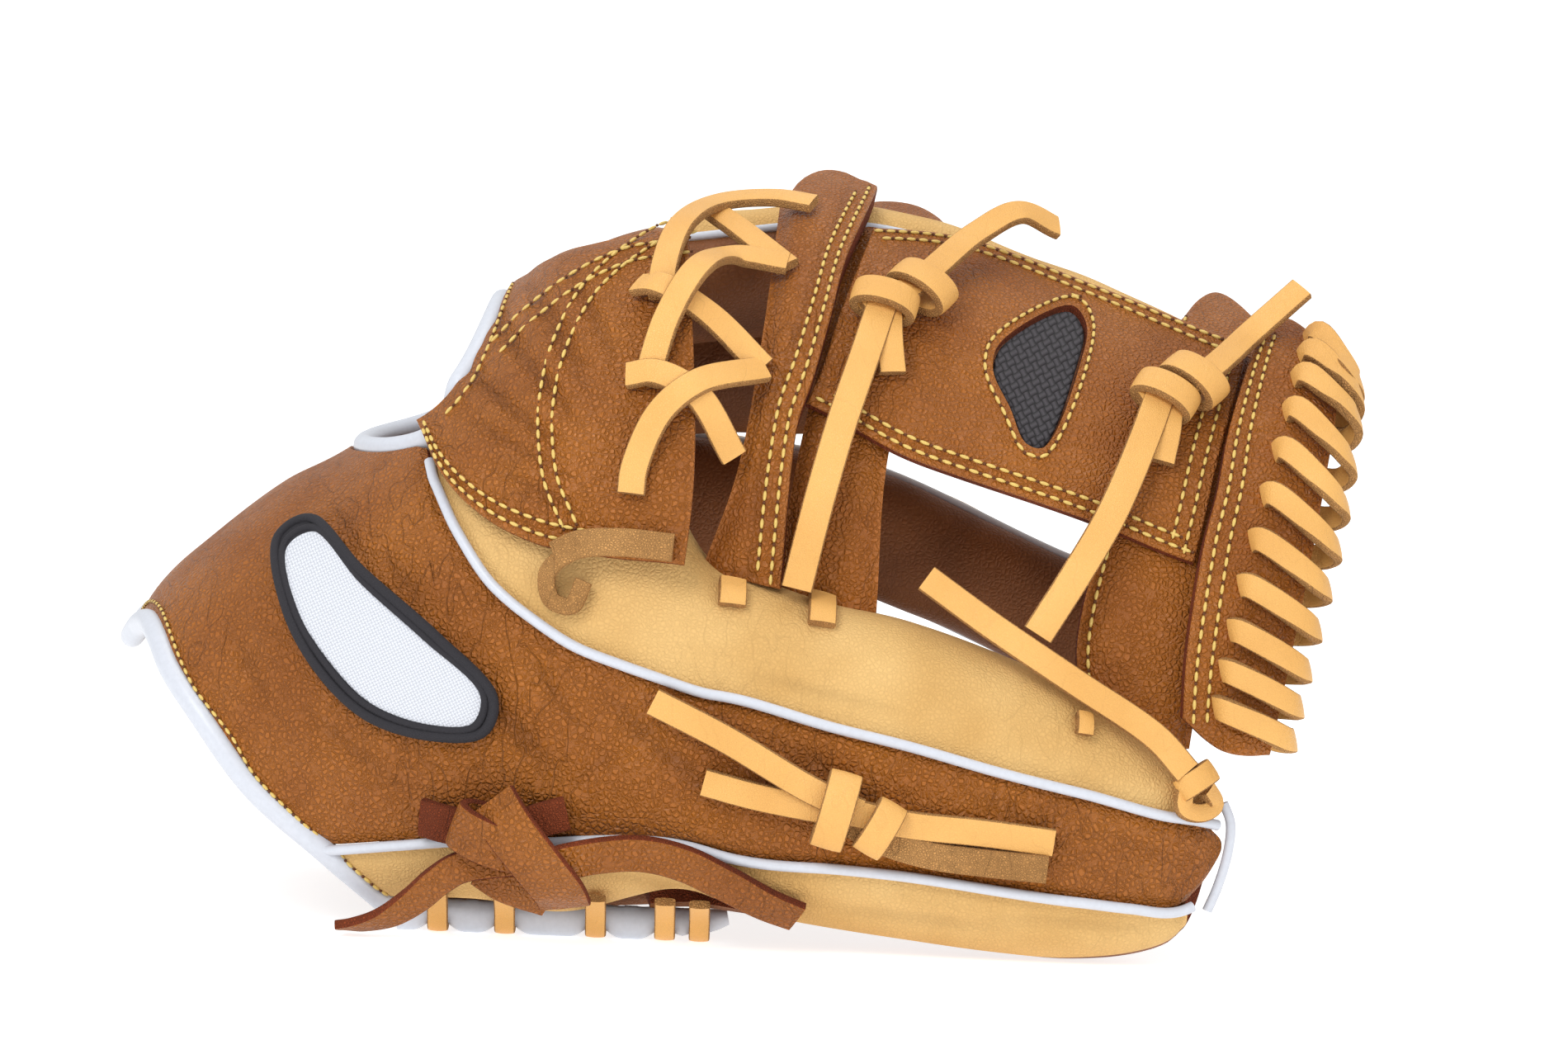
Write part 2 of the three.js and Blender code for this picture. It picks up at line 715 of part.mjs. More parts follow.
function wristBinding() {
  const knots = [];
  const faces = [];
  const from = handShell.angleAt(-78, 5.5);
  const count = 16;
  for (let i = 0; i <= count; i += 1) {
    const angle = mix(from, Math.PI - from, i / count);
    const x = wristX(angle);
    const normal = normalAt(handShell, x, angle);
    knots.push(handShell.point(x, angle).addScaledVector(normal, -LEATHER / 2));
    faces.push(normal);
  }
  const { route, facing } = curveThrough(knots, faces, 28);
  return sweep(route, facing, round(BINDING_RADIUS));
}

place('wrist_binding', wristBinding(), 'white');

const rimRoute = openingRoute(28);
place('back_opening_binding', sweep(rimRoute.route, rimRoute.facing, round(BINDING_RADIUS - 0.4), true),
  'white');

// The web: two posts, the strips behind them, and the panel with its window between them.
function webStrip(low, high, left, right, lift, thick, along, across) {
  return sheet({
    surface: webShell,
    low: edge(webShell, low),
    high: edge(webShell, high),
    left: rise(webShell, left),
    right: rise(webShell, right),
    lift,
    thick,
    along,
    across,
  });
}

const POST = { lift: 4.4, thick: 6.8 };
const STRIP = { lift: -3.2, thick: 6 };
const PANEL_THICK = 2.8;
const BASE_CUT = [[10.2, 84], [12, 118.6], [15.6, 131], [18.8, 143.6], [21.9, 156], [28.6, 170.5]];
const TIP_CUT = [[103, 58], [103.2, 71], [104.5, 84], [106.6, 97.3], [109.4, 108], [112, 120.5],
  [116.6, 133.7], [121.3, 143.2]];

// The outside of the thumb, grown a little, that the feet of the web are trimmed to.
function thumbBody(grow) {
  const vertices = [];
  const faces = [];
  const sides = 16;
  const xs = [-20, 0, 20, 40, 60, 80, 95, 105, 112];
  xs.forEach((x) => {
    for (let k = 0; k < sides; k += 1) {
      const angle = (2 * Math.PI * k) / sides;
      vertices.push(thumbShell.point(x, angle).addScaledVector(normalAt(thumbShell, x, angle), grow));
    }
  });
  for (let i = 0; i < xs.length - 1; i += 1) {
    for (let k = 0; k < sides; k += 1) {
      const a = i * sides + k;
      const b = i * sides + ((k + 1) % sides);
      faces.push([a, b, b + sides], [a, b + sides, a + sides]);
    }
  }
  const end = (xs.length - 1) * sides;
  for (let k = 1; k < sides - 1; k += 1) {
    faces.push([0, k + 1, k]);
    faces.push([end, end + k, end + k + 1]);
  }
  return closedGeometry(vertices, faces);
}

const thumbTool = thumbBody(0.8);
const indexTool = fingerSolid(FINGERS[0], -0.8, -0.8, FINGER_BASE - 1, FINGERS[0].tip + 1);

const basePost = webStrip([[-8.3, 87], [1.5, 85.5], [10.2, 84]],
  [[6.2, 168.3], [16.6, 173.5], [28.6, 170.5]], [[-8.3, 87], [-1, 110], [3.5, 141], [6.2, 168.3]], BASE_CUT,
  POST.lift, POST.thick, 3, 7);
place('web_base_post', cut(basePost, thumbTool, indexTool), 'brown');
const baseStrip = webStrip([[8, 80.5], [20, 79], [32, 78.5]], [[26, 168.5], [40, 168], [50.5, 164.5]],
  [[8, 80.5], [13, 116], [18, 141], [26, 168.5]], [[32, 78.5], [34, 116], [42, 145], [50.5, 164.5]],
  STRIP.lift, STRIP.thick, 3, 8);
place('web_base_strip', cut(baseStrip, thumbTool, indexTool), 'brown');
place('web_tip_strip', cut(webStrip([[81, 55], [92, 52], [106, 50]], [[104, 151], [113, 155], [124, 147]],
  [[81, 55], [79, 74], [84, 98], [94, 125], [104, 151]], [[106, 50], [109, 75], [114, 110], [124, 147]],
  STRIP.lift, STRIP.thick, 3, 8), thumbTool, indexTool), 'brown');

const WINDOW = [[75.8, 149], [79.3, 144.8], [77.7, 136.6], [69.4, 117.9], [65.1, 118.7], [61.3, 126.3],
  [57.1, 134.8], [58.7, 140.6]];

// A plate of even thickness with a given outline, laid on a shell in rings from its middle.
function plate(surface, outline, lift, thick, rings, steps) {
  const curve = new THREE.CatmullRomCurve3(outline.map(([x, z]) => new THREE.Vector3(x, 0, z)), true,
    'centripetal');
  const around = Array.from({ length: steps }, (_, i) => curve.getPoint(i / steps));
  const middle = around.reduce((sum, p) => sum.add(p), new THREE.Vector3()).divideScalar(steps);
  const vertices = [];
  const faces = [];
  [lift, lift - thick].forEach((height) => {
    const put = (x, z) => {
      const angle = surface.angleAt(x, z);
      vertices.push(surface.point(x, angle).addScaledVector(normalAt(surface, x, angle), height));
    };
    put(middle.x, middle.z);
    for (let r = 1; r <= rings; r += 1) {
      around.forEach((p) => put(mix(middle.x, p.x, r / rings), mix(middle.z, p.z, r / rings)));
    }
  });
  const half = vertices.length / 2;
  const at = (side, r, i) => side * half + 1 + (r - 1) * steps + (i % steps);
  [0, 1].forEach((side) => {
    const add = (i, j, k) => faces.push(side === 0 ? [i, j, k] : [i, k, j]);
    for (let i = 0; i < steps; i += 1) {
      add(side * half, at(side, 1, i), at(side, 1, i + 1));
      for (let r = 1; r < rings; r += 1) {
        add(at(side, r, i), at(side, r + 1, i), at(side, r + 1, i + 1));
        add(at(side, r, i), at(side, r + 1, i + 1), at(side, r, i + 1));
      }
    }
  });
  for (let i = 0; i < steps; i += 1) {
    faces.push([at(0, rings, i), at(1, rings, i), at(1, rings, i + 1)]);
    faces.push([at(0, rings, i), at(1, rings, i + 1), at(0, rings, i + 1)]);
  }
  return closedGeometry(vertices, faces);
}

function grown(outline, by) {
  const cx = outline.reduce((sum, p) => sum + p[0], 0) / outline.length;
  const cz = outline.reduce((sum, p) => sum + p[1], 0) / outline.length;
  return outline.map(([x, z]) => {
    const length = Math.hypot(x - cx, z - cz);
    return [x + (by * (x - cx)) / length, z + (by * (z - cz)) / length];
  });
}

function crossPanel() {
  const panel = webStrip([[14.2, 126.2], [34, 116.6], [49.5, 111.2], [77.4, 103], [104.9, 93.3]],
    [[28.4, 165.2], [50, 161.5], [80, 149.2], [117.2, 136.8]],
    [[14.2, 126.2], [17.8, 135], [21, 146], [28.4, 165.2]],
    [[104.9, 93.3], [107.2, 103], [110.2, 116], [114, 129], [117.2, 136.8]], 0, PANEL_THICK, 11, 5);
  return cut(panel, plate(webShell, WINDOW, 4, 12, 1, 16));
}

place('web_cross_panel', crossPanel(), 'brown');
place('web_patch', plate(webShell, grown(WINDOW, -0.6), -0.8, 1.6, 1, 16), 'patch');

// The badge on the wrist strap, with a plain field.
const BADGE = [[-107, 88], [-99, 93], [-86, 84], [-66, 70], [-53, 57], [-55, 49], [-66, 47], [-82, 50],
  [-95, 60], [-104, 74]];
place('wrist_patch', plate(thumbShell, BADGE, 2.2 + GAP, 1.6, 3, 18), 'white');

// Rawhide lacing. Each route is a row of places in the side view with the height above the leather.
const OVER = LACE_THICK / 2 + GAP;

function lace(surface, rows, steps, width = LACE_WIDTH, thick = LACE_THICK) {
  const { route, facing } = lay(surface, rows, steps);
  return sweep(route, facing, flat(width, thick));
}

// The shell that carries a place: the crotch panel up to its edge, the web beyond it.
const bridge = {
  point(x, angle) {
    return x < -9.5 ? handShell.point(x, angle) : webShell.point(x, angle);
  },
  angleAt(x, z) {
    return x < -9.5 ? handShell.angleAt(x, z) : webShell.angleAt(x, z);
  },
};

// Turns of lace over the tip edge of the web, from a hole, round the edge and back to the next hole.
const TURNS = 11;
const TURN_WIDTH = 5.4;
const TURN_HOLE = [[131, 140], [128.6, 133.5], [125, 122], [120.5, 107], [116.2, 91], [112.8, 75],
  [110.6, 61]];
const TURN_EDGE = [[142.5, 131], [142, 126], [139.5, 112], [136.5, 97], [133, 82], [129.7, 67],
  [127.5, 54]];

function alongPoints(points, t) {
  const ts = points.map((_, i) => i / (points.length - 1));
  return [blendAt(ts, points.map((p) => p[0]), t), blendAt(ts, points.map((p) => p[1]), t)];
}

function tipLacing(width, thick, from, to) {
  const knots = [];
  const faces = [];
  const add = (x, z, lift, turn) => {
    const angle = webShell.angleAt(x, z);
    const normal = normalAt(webShell, x, angle);
    knots.push(webShell.point(x, angle).addScaledVector(normal, lift));
    const right = new THREE.Vector3(1, 0, 0.25);
    const face = new THREE.Vector3().addScaledVector(normal, Math.cos(turn));
    faces.push(face.addScaledVector(right, Math.sin(turn)));
  };
  const front = POST.lift + OVER + 0.5;
  const back = POST.lift - POST.thick - OVER - 0.6;
  const middle = (front + back) / 2;
  for (let i = from; i < to; i += 1) {
    const t = i / (TURNS - 1);
    const hole = alongPoints(TURN_HOLE, t);
    const edgeAt = alongPoints(TURN_EDGE, t);
    const next = alongPoints(TURN_HOLE, Math.min(1, (i + 1) / (TURNS - 1)));
    add(hole[0], hole[1], middle, -0.5 * Math.PI);
    add(hole[0] + 1.4, hole[1] - 0.7, front + 0.3, -0.2 * Math.PI);
    add(mix(hole[0], edgeAt[0], 0.55), mix(hole[1], edgeAt[1], 0.55), front, 0);
    add(edgeAt[0] - 1.5, edgeAt[1] + 0.3, front - 0.9, 0.22 * Math.PI);
    add(edgeAt[0] + 1, edgeAt[1] - 0.6, middle, 0.5 * Math.PI);
    add(edgeAt[0] - 1.5, edgeAt[1] - 0.8, back + 0.9, 0.8 * Math.PI);
    add(mix(next[0], edgeAt[0], 0.4), mix(next[1], edgeAt[1], 0.45), back, Math.PI);
    if (i < to - 1) add(next[0] + 1.2, next[1] + 0.4, back + 0.4, 1.25 * Math.PI);
  }
  const { route, facing } = curveThrough(knots, faces, (to - from) * 7);
  return sweep(route, facing, flat(width, thick));
}

const TIP_POST = { lift: 3.7, thick: 5 };
const tipPost = webStrip([[103, 58], [112, 51], [123.5, 50]], [[121.3, 143.2], [128, 144.2], [138.4, 136]],
  TIP_CUT, [[123.5, 50], [127.4, 72], [131.2, 92], [135, 112], [138, 128], [138.4, 136]],
  TIP_POST.lift, TIP_POST.thick, 2, 7);

function lacingHole(t) {
  const [x, z] = alongPoints(TURN_HOLE, t);
  const rows = [[x, z, POST.lift + 3], [x, z, POST.lift - POST.thick - 3]];
  const { route, facing } = lay(webShell, rows, 1);
  return sweep(route, facing.map(() => new THREE.Vector3(1, 0, 0.25)),
    flat(TURN_WIDTH + 3.4 * HOLE_PLAY, LACE_THICK + 5 * HOLE_PLAY));
}

const lacingHoles = Array.from({ length: TURNS }, (_, i) => lacingHole(i / (TURNS - 1)));
place('web_tip_post', cut(tipPost, ...lacingHoles, thumbTool), 'brown');
place('web_tip_lacing', tipLacing(TURN_WIDTH, LACE_THICK, 0, TURNS), 'lace');

// Strands that cross between the crotch panel and the first post, one lace in all.
const STRANDS = [
  [[14, 164, 7], [5.4, 164.8, 7], [-6.8, 162.6, 8], [-15.5, 157.8, 8], [-18.7, 148.6, 8.2],
    [-19, 144, 7.4]],
  [[-9, 161.5, 6.8], [-2, 158, 6.4], [8.5, 151.5, 6.2]],
  [[8.5, 152, 6.4], [-3.2, 152.6, 7], [-11.2, 148.6, 10.2], [-17.5, 139, 9.2], [-22, 126.5, 6.2]],
  [[-24.5, 146.5, 6.4], [-19, 145, 9.8], [-8.8, 138.6, 10.4], [3.7, 130.7, 6.2]],
  [[-26.2, 127.9, 6.6], [-19.7, 128.4, 8], [-10.8, 124.4, 8.2], [-1.9, 112.3, 6.2]],
  [[3.9, 130.4, 6.4], [-10.9, 126.2, 9.4], [-18.5, 119.8, 9], [-23.7, 109, 7], [-24.4, 103.4, 6.6]],
];
place('crotch_lacing', join(...STRANDS.map((rows) => lace(bridge, rows, 6))), 'lace');

// A ring of lace round a knot: it stands square to the way that the tail leaves it.
function knotRing(surface, [x, z], lift, heading, across, high, width, steps = 8) {
  const angle = surface.angleAt(x, z);
  const normal = normalAt(surface, x, angle);
  const ahead = [x + Math.cos(heading), z + Math.sin(heading)];
  const axis = surface.point(ahead[0], surface.angleAt(...ahead)).sub(surface.point(x, angle)).normalize();
  const side = axis.clone().cross(normal).normalize();
  const centre = surface.point(x, angle).addScaledVector(normal, lift);
  const route = [];
  const facing = [];
  for (let i = 0; i < steps; i += 1) {
    const a = (2 * Math.PI * i) / steps;
    const out = side.clone().multiplyScalar(Math.cos(a)).addScaledVector(normal, Math.sin(a));
    route.push(centre.clone().addScaledVector(side, across * Math.cos(a))
      .addScaledVector(normal, high * Math.sin(a)));
    facing.push(out);
  }
  return sweep(route, facing, flat(width, LACE_THICK), true);
}

// Short lace loops that tie the foot of each strip of the web down to the top of the thumb: a row
// for each, with its place along the glove, its two ends and its width.
const FOOT_LACES = table(['x', 'top', 'low', 'width'], [
  [-1.3, 84.6, 79.8, 6.4],
  [19.3, 81, 76, 6.4],
  [80, 57.6, 53.6, 4.2],
]);
FOOT_LACES.rows.forEach(([x, top, low, width], i) => {
  const rows = [[x, top, OVER], [x + 0.1, mix(top, low, 0.5), OVER + 0.5], [x + 0.2, low, OVER]];
  place(`web_foot_lace_${i + 1}`, lace(thumbShell, rows, 4, width), 'lace');
});

// The two knots over the web: a ring round the tail that points up, one round the tail that hangs
// down, those two tails and a short end.
const RING_LIFT = 5.4;
const TAIL_WIDTH = 7.2;
place('web_knot_left', join(
  knotRing(webShell, [38.8, 148.6], RING_LIFT, 0.72, 7, 3.6, 7.8),
  knotRing(webShell, [30.4, 145.6], RING_LIFT, -1.85, 6.8, 3.4, 7.4),
  lace(webShell, [[26, 144, 5], [34, 147, 5.6], [40, 151, 6], { free: [53, -14, 165] },
    { free: [63, -7, 170] }, { free: [72, -2, 166.5] }], 8),
  lace(webShell, [[30, 145.5, 5.6], [27, 136, 5], [22, 120, 4.2], [18, 104, 4.6], [14, 84.4, 6.1]], 6,
    TAIL_WIDTH),
  lace(webShell, [[31.5, 144, 4.8], [32, 138, 4.4], [33.3, 132, 2.6]], 3),
), 'lace');
place('web_knot_right', join(
  knotRing(webShell, [103.1, 129.7], RING_LIFT, 0.67, 7, 3.6, 7.8),
  knotRing(webShell, [96.2, 126.6], RING_LIFT, -2.15, 6.8, 3.4, 7.4),
  lace(webShell, [[91, 125, 5], [100, 127.5, 5.6], [107, 130.5, 8], { free: [119, -18, 145] },
    { free: [130, -13, 155] }], 6),
  lace(webShell, [[95, 127, 5.6], [91.4, 118, 5], [84.4, 102, 4.4], [77, 89, 4], [69, 75.8, 4]], 6,
    TAIL_WIDTH),
  lace(webShell, [[97.5, 127, 4.8], [97, 120, 4.4], [96, 114, 2.6]], 3),
), 'lace');

// The lace through the tip of the thumb: a loop round the corner, a ring, and a tail over the thumb.
place('web_corner_lace', join(
  knotRing(thumbShell, [104.5, 42.5], 5, 2.2, 4.2, 3, 5.6),
  lace(thumbShell, [[102.5, 41.5, 4.2], [103, 37.6, 2.8], [107, 36.4, 2.5], [109.8, 38, 2.8],
    [107, 41, 4.6]], 8, 4.4),
  curveLace([[104.5, -74, 46.5], [97.1, -72, 54], [77.7, -70.5, 66], [58.3, -70, 78], [43.2, -68, 88]],
    [0, -1, 0.25], 8),
), 'lace');

// A lace through places in the air. It faces one way, or turns from the first way to the last.
function curveLace(points, facing, steps, width = LACE_WIDTH, lastFacing = facing) {
  const knots = points.map((p) => new THREE.Vector3(...p));
  const faces = knots.map((_, i) => new THREE.Vector3(...facing)
    .lerp(new THREE.Vector3(...lastFacing), i / (knots.length - 1)));
  const { route, facing: turned } = curveThrough(knots, faces, steps);
  return sweep(route, turned, flat(width, LACE_THICK));
}

place('thumb_top_lace', join(
  lace(thumbShell, [[-34.5, 84.5, 3], [-37, 79, 2.4], [-41.5, 80, 2.2], [-42.5, 85.5, 3.8],
    [-38.5, 89.8, 6.5]], 8, 4),
  lace(handShell, [[-40.5, 89.4, 6.3], [-35.6, 92, 6.4], [-26, 93, 6.4], [-14.6, 92.4, 6.4]], 6),
), 'lace');

place('thumb_lace', join(
  lace(thumbShell, [[-5.6, 40.8, OVER], [6, 38.2, 1.9], [17, 36.6, 3], [27, 35.4, 4]], 4),
  lace(thumbShell, [[-17.7, 58.6, 3], [-0.9, 50.9, 3.6], [18.5, 40.6, 4.6], [30, 36, 5]], 5),
  knotRing(thumbShell, [24.6, 36.2], 5, 2.9, 8, 3.4, 7.6),
  knotRing(thumbShell, [34.6, 32.6], 5, -0.5, 5.6, 3.2, 7),
  lace(thumbShell, [[28, 36, 5], [40, 33.4, 3.4], [58.1, 31.7, 1.9], [74.3, 29.8, OVER]], 5),
  lace(thumbShell, [[27, 34, 4.4], [35, 29.8, 3.6], [46, 26.6, 2.8], [60.2, 25, 2.6], [73, 24, 2.6]], 5),
), 'lace');

// The broad tie near the heel: a flap out of each slot, the knot's loop, the wrap over it and the
// fold below it, and the two tails.
const TIE_FOLD = 9;
place('wrist_tie', join(
  lace(thumbShell, [[-69.3, 29.4, OVER + 0.3], [-65, 29, 3.4], [-57, 28.6, 5.2]], 3, TIE_FOLD),
  knotRing(thumbShell, [-52.5, 28.2], 6.8, 1.25, 8.4, 4.2, TIE_WIDTH - 1),
  lace(thumbShell, [[-52.2, 35.8, 8.2], [-48.1, 31.6, 11.4], [-42.2, 25.3, 11.4], [-37.6, 18.8, 9.2],
    [-36.6, 13.8, 5.6]], 6, TIE_WIDTH),
  lace(thumbShell, [[-55.2, 19.7, 4.5], [-49.5, 17, 5.6], [-40, 14, 5.4]], 3, TIE_FOLD),
  lace(thumbShell, [[-47, 29.6, 5.4], [-41.5, 31.4, 4], [-36.4, 32.6, OVER + 0.9]], 3, TIE_FOLD - 1),
  lace(thumbShell, [[-42.5, 22.6, 9.4], [-36, 24.4, 8], [-28.1, 25, 5.4], [-18.7, 25, 4],
    [-9.2, 23, 3.6], [0.4, 18.8, 3.4], [9.9, 14.3, 3.2], [17.2, 11.5, 2.8]], 9, TIE_FOLD),
  curveLace([[-47, -79.5, 21], [-59.9, -78.5, 18.6], [-65.4, -76, 14.9], [-70.8, -72.5, 9.6],
    [-77.2, -69.5, 5], [-83.8, -68, 2.8], [-88.1, -67, 2.3]], [0, -1, 0.1], 9, TIE_WIDTH - 4.6,
  [0, -0.15, -1]),
), 'brown');

// The rolled binding under the heel: scalloped, because the heel laces pull it up.
const HEEL_LACE_WIDTH = 4.8;
const HEEL_LACES = [-66, -50.5, -29.5, -13.5, -5.5];
const HEEL_Y = -55.2;
const HEEL_PULL = 2.5;

function heelBinding() {
  const places = [[-75, 0], [-71.8, 0], [-58.2, 0], [-40, 0], [-21.5, 0], [-9.5, 0.8], [0.5, 0.3]];
  HEEL_LACES.forEach((x) => places.push([x - 2.6, 1], [x + 2.6, 1]));
  places.sort((a, b) => a[0] - b[0]);
  const height = HEEL_ROLL_RADIUS + 0.1;
  const knots = places.map(([x, pull]) => new THREE.Vector3(x, HEEL_Y, height + HEEL_PULL * pull));
  const { route, facing } = curveThrough(knots, knots.map(() => new THREE.Vector3(0, -1, 0)), 32);
  return sweep(route, facing, round(HEEL_ROLL_RADIUS));
}

place('heel_binding', heelBinding(), 'white');
HEEL_LACES.forEach((x, i) => {
  const front = thumbShell.point(x, thumbShell.angleAt(x, 11.5)).y - 3.5;
  const turns = [[front, 11.2], [-61.6, 6.2], [-58.4, 2.2], [-55, 1.15], [-51.6, 2.4], [-50.2, 5.6]];
  const knots = turns.map(([y, z]) => new THREE.Vector3(x, y, z));
  const faces = [[-1, 0.1], [-1, -0.2], [-0.7, -0.7], [0, -1], [0.7, -0.7], [1, -0.1]];
  const { route, facing } = curveThrough(knots, faces.map(([y, z]) => new THREE.Vector3(0, y, z)), 6);
  place(`heel_lace_${i + 1}`, sweep(route, facing, flat(HEEL_LACE_WIDTH, 1.8)), 'lace');
});

// The piping round the thumb's tip, between the back of the thumb and its palm side.
const TIP_WELT = [[113.8, 38.5], [115.6, 34], [115.4, 27.5], [113.4, 19.2], [111.2, 13.4]];
place('welt_tip', (() => {
  const knots = TIP_WELT.map(([x, z]) => new THREE.Vector3(x, -63, z));
  const { route, facing } = curveThrough(knots, knots.map(() => new THREE.Vector3(0, -1, 0)), 10);
  return sweep(route, facing, round(WELT_RADIUS));
})(), 'white');

export default glove;
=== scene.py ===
import math

import bpy
import numpy as np
from mathutils import Matrix, Vector


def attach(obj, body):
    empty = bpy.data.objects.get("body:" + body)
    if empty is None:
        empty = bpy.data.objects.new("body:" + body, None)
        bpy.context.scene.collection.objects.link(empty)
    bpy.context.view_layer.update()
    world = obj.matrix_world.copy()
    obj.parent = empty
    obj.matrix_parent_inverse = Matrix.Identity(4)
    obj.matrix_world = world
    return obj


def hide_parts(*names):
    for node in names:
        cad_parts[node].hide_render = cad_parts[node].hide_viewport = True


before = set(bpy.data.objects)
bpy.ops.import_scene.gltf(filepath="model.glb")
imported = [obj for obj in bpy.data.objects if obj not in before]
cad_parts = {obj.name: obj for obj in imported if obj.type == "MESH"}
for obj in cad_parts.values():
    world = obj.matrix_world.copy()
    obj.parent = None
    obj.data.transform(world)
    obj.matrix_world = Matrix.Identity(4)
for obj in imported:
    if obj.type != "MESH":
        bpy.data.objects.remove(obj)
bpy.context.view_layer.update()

# Back of the thumb.
# One brown pebbled panel runs from the wrist strap along the back of the thumb to its tip.
# It is stuffed between two white pipings, so its long edges roll down into the seams.
SHIFT = np.array([1.185, 5.317, 0.0])
ROUNDNESS = 0.87
LEATHER = 2.4
SEAM = 0.7
HAND = [(-148, 56, 34, 30, -20), (-138, 73, 44, 34, -19), (-127, 84, 51, 37, -18), (-110, 98, 58, 40, -16),
        (-96, 106, 64, 42, -15), (-80, 119, 70, 43, -14), (-61, 137, 75, 44, -12), (-40, 156, 78, 45, -10),
        (-20, 163.5, 79, 45, -6), (0, 166, 79, 45, -4)]
THUMB = [(-45, 94, 7, -60, 19), (-12, 90, 9.4, -60, 20), (20, 81, 5.8, -60, 20), (40, 77, 3.6, -60, 19.5),
         (62, 70, 1.2, -60, 18.5), (80, 62, 0.3, -60, 16.5), (98, 51, 3, -60, 12.5), (108, 45, 9, -60, 8),
         (115.5, 37, 21, -60, 2.6)]
UPPER_SEAM = [(-74, 113.9), (-70.8, 104.7), (-64.5, 94), (-54.9, 82), (-40.2, 72), (-24.4, 66),
              (3.6, 59.2), (40.5, 50.5), (67.3, 43.9), (100.9, 35.8), (112.5, 33.5)]
LOWER_SEAM = [(-92, 18.6), (-75.9, 21.3), (-54, 24), (-33.9, 25.2), (-0.8, 23.3), (26.4, 21.4),
              (60.7, 18.1), (92.8, 14.5), (107.5, 14.8)]
WRIST_EDGE = [(-77, 4.5), (-88, 14), (-101.5, 24.5), (-115, 37), (-129, 53.5), (-139.5, 66.5)]


def blend(xs, ys, x):
    """Smooth curve through the places (xs, ys)."""
    xs, ys, x = np.asarray(xs, float), np.asarray(ys, float), np.asarray(x, float)
    last = len(xs) - 1
    i = np.clip(np.searchsorted(xs, x, side="left") - 1, 0, last - 1)

    def slope(k):
        a, b = np.maximum(0, k - 1), np.minimum(last, k + 1)
        return (ys[b] - ys[a]) / (xs[b] - xs[a])

    span = xs[i + 1] - xs[i]
    t = np.clip((x - xs[i]) / span, 0, 1)
    return ((2 * t**3 - 3 * t**2 + 1) * ys[i] + (t**3 - 2 * t**2 + t) * span * slope(i)
            + (3 * t**2 - 2 * t**3) * ys[i + 1] + (t**3 - t**2) * span * slope(i + 1))


def column(rows, c):
    return [row[c] for row in rows]


def ease(x, start, end):
    t = np.clip((x - start) / (end - start), 0, 1)
    return t * t * (3 - 2 * t)


def power(value):
    return np.sign(value) * np.abs(value) ** ROUNDNESS


class Shell:
    """A closed section that changes along x. Angle 0 faces the thumb side, 90 degrees is up."""

    def __init__(self, section):
        self.section = section

    def point(self, x, angle):
        x, angle = np.broadcast_arrays(np.asarray(x, float), np.asarray(angle, float))
        centre, near, far, top, mid, low = self.section(x)
        side = np.where(np.cos(angle) > 0, near, far)
        rise = np.where(np.sin(angle) > 0, top - mid, mid - low)
        return np.stack([x, centre - side * power(np.cos(angle)), mid + rise * power(np.sin(angle))], -1)

    def angle(self, x, z):
        centre, near, far, top, mid, low = self.section(np.asarray(x, float))
        t = np.where(z > mid, (z - mid) / (top - mid), (z - mid) / (mid - low))
        return np.sign(t) * np.arcsin(np.minimum(1, np.abs(t)) ** (1 / ROUNDNESS))


def hand_section(x):
    wide = blend(column(HAND, 0), column(HAND, 2), x)
    top, mid, low = (blend(column(HAND, 0), column(HAND, c), x) for c in (1, 3, 4))
    return 0 * x, wide, wide, top, mid, low


def thumb_section(x):
    hand = hand_section(np.minimum(0, x))
    top, low, centre, wide = (blend(column(THUMB, 0), column(THUMB, c), np.maximum(-45, x))
                              for c in (1, 2, 3, 4))
    thumb = (centre, wide, wide, top, (top + low) / 2, low)
    k = ease(x, -48, -4)
    return tuple(h + (t - h) * k for h, t in zip(hand, thumb))


hand_shell = Shell(hand_section)
thumb_shell = Shell(thumb_section)


def normal_at(surface, x, angle):
    dx = surface.point(x + 0.5, angle) - surface.point(x - 0.5, angle)
    da = surface.point(x, angle + 0.02) - surface.point(x, angle - 0.02)
    n = np.cross(dx, da)
    return n / np.linalg.norm(n, axis=-1, keepdims=True)


def edge(surface, places):
    """A line along x through places (x, z), or (x, None, angle)."""
    xs = [p[0] for p in places]
    angles = [p[2] if len(p) > 2 else float(surface.angle(p[0], p[1])) for p in places]
    return lambda t: (xs[0] + (xs[-1] - xs[0]) * t, blend(xs, angles, xs[0] + (xs[-1] - xs[0]) * t))


def rise(surface, places):
    """A line that rises through places (x, z)."""
    zs = [p[1] for p in places]

    def line(t):
        z = zs[0] + (zs[-1] - zs[0]) * t
        x = blend(zs, [p[0] for p in places], z)
        return x, surface.angle(x, z)

    return line


def on(surface, place):
    return place[0], float(surface.angle(place[0], place[1]))


def bowed(a, b, bow):
    """A line between two places (x, angle) that bows out along x."""
    return lambda t: (a[0] + (b[0] - a[0]) * t + bow * np.sin(math.pi * t), a[1] + (b[1] - a[1]) * t)


def straight(a, b):
    return bowed(a, b, 0)


def shifted(places, aside):
    """Places moved sideways, to the left of their direction."""
    p = np.array(places, float)
    d = np.gradient(p, axis=0)
    d[1:-1] = p[2:] - p[:-2]
    d /= np.linalg.norm(d, axis=1, keepdims=True)
    return [tuple(q) for q in p + aside * np.stack([-d[:, 1], d[:, 0]], 1)]


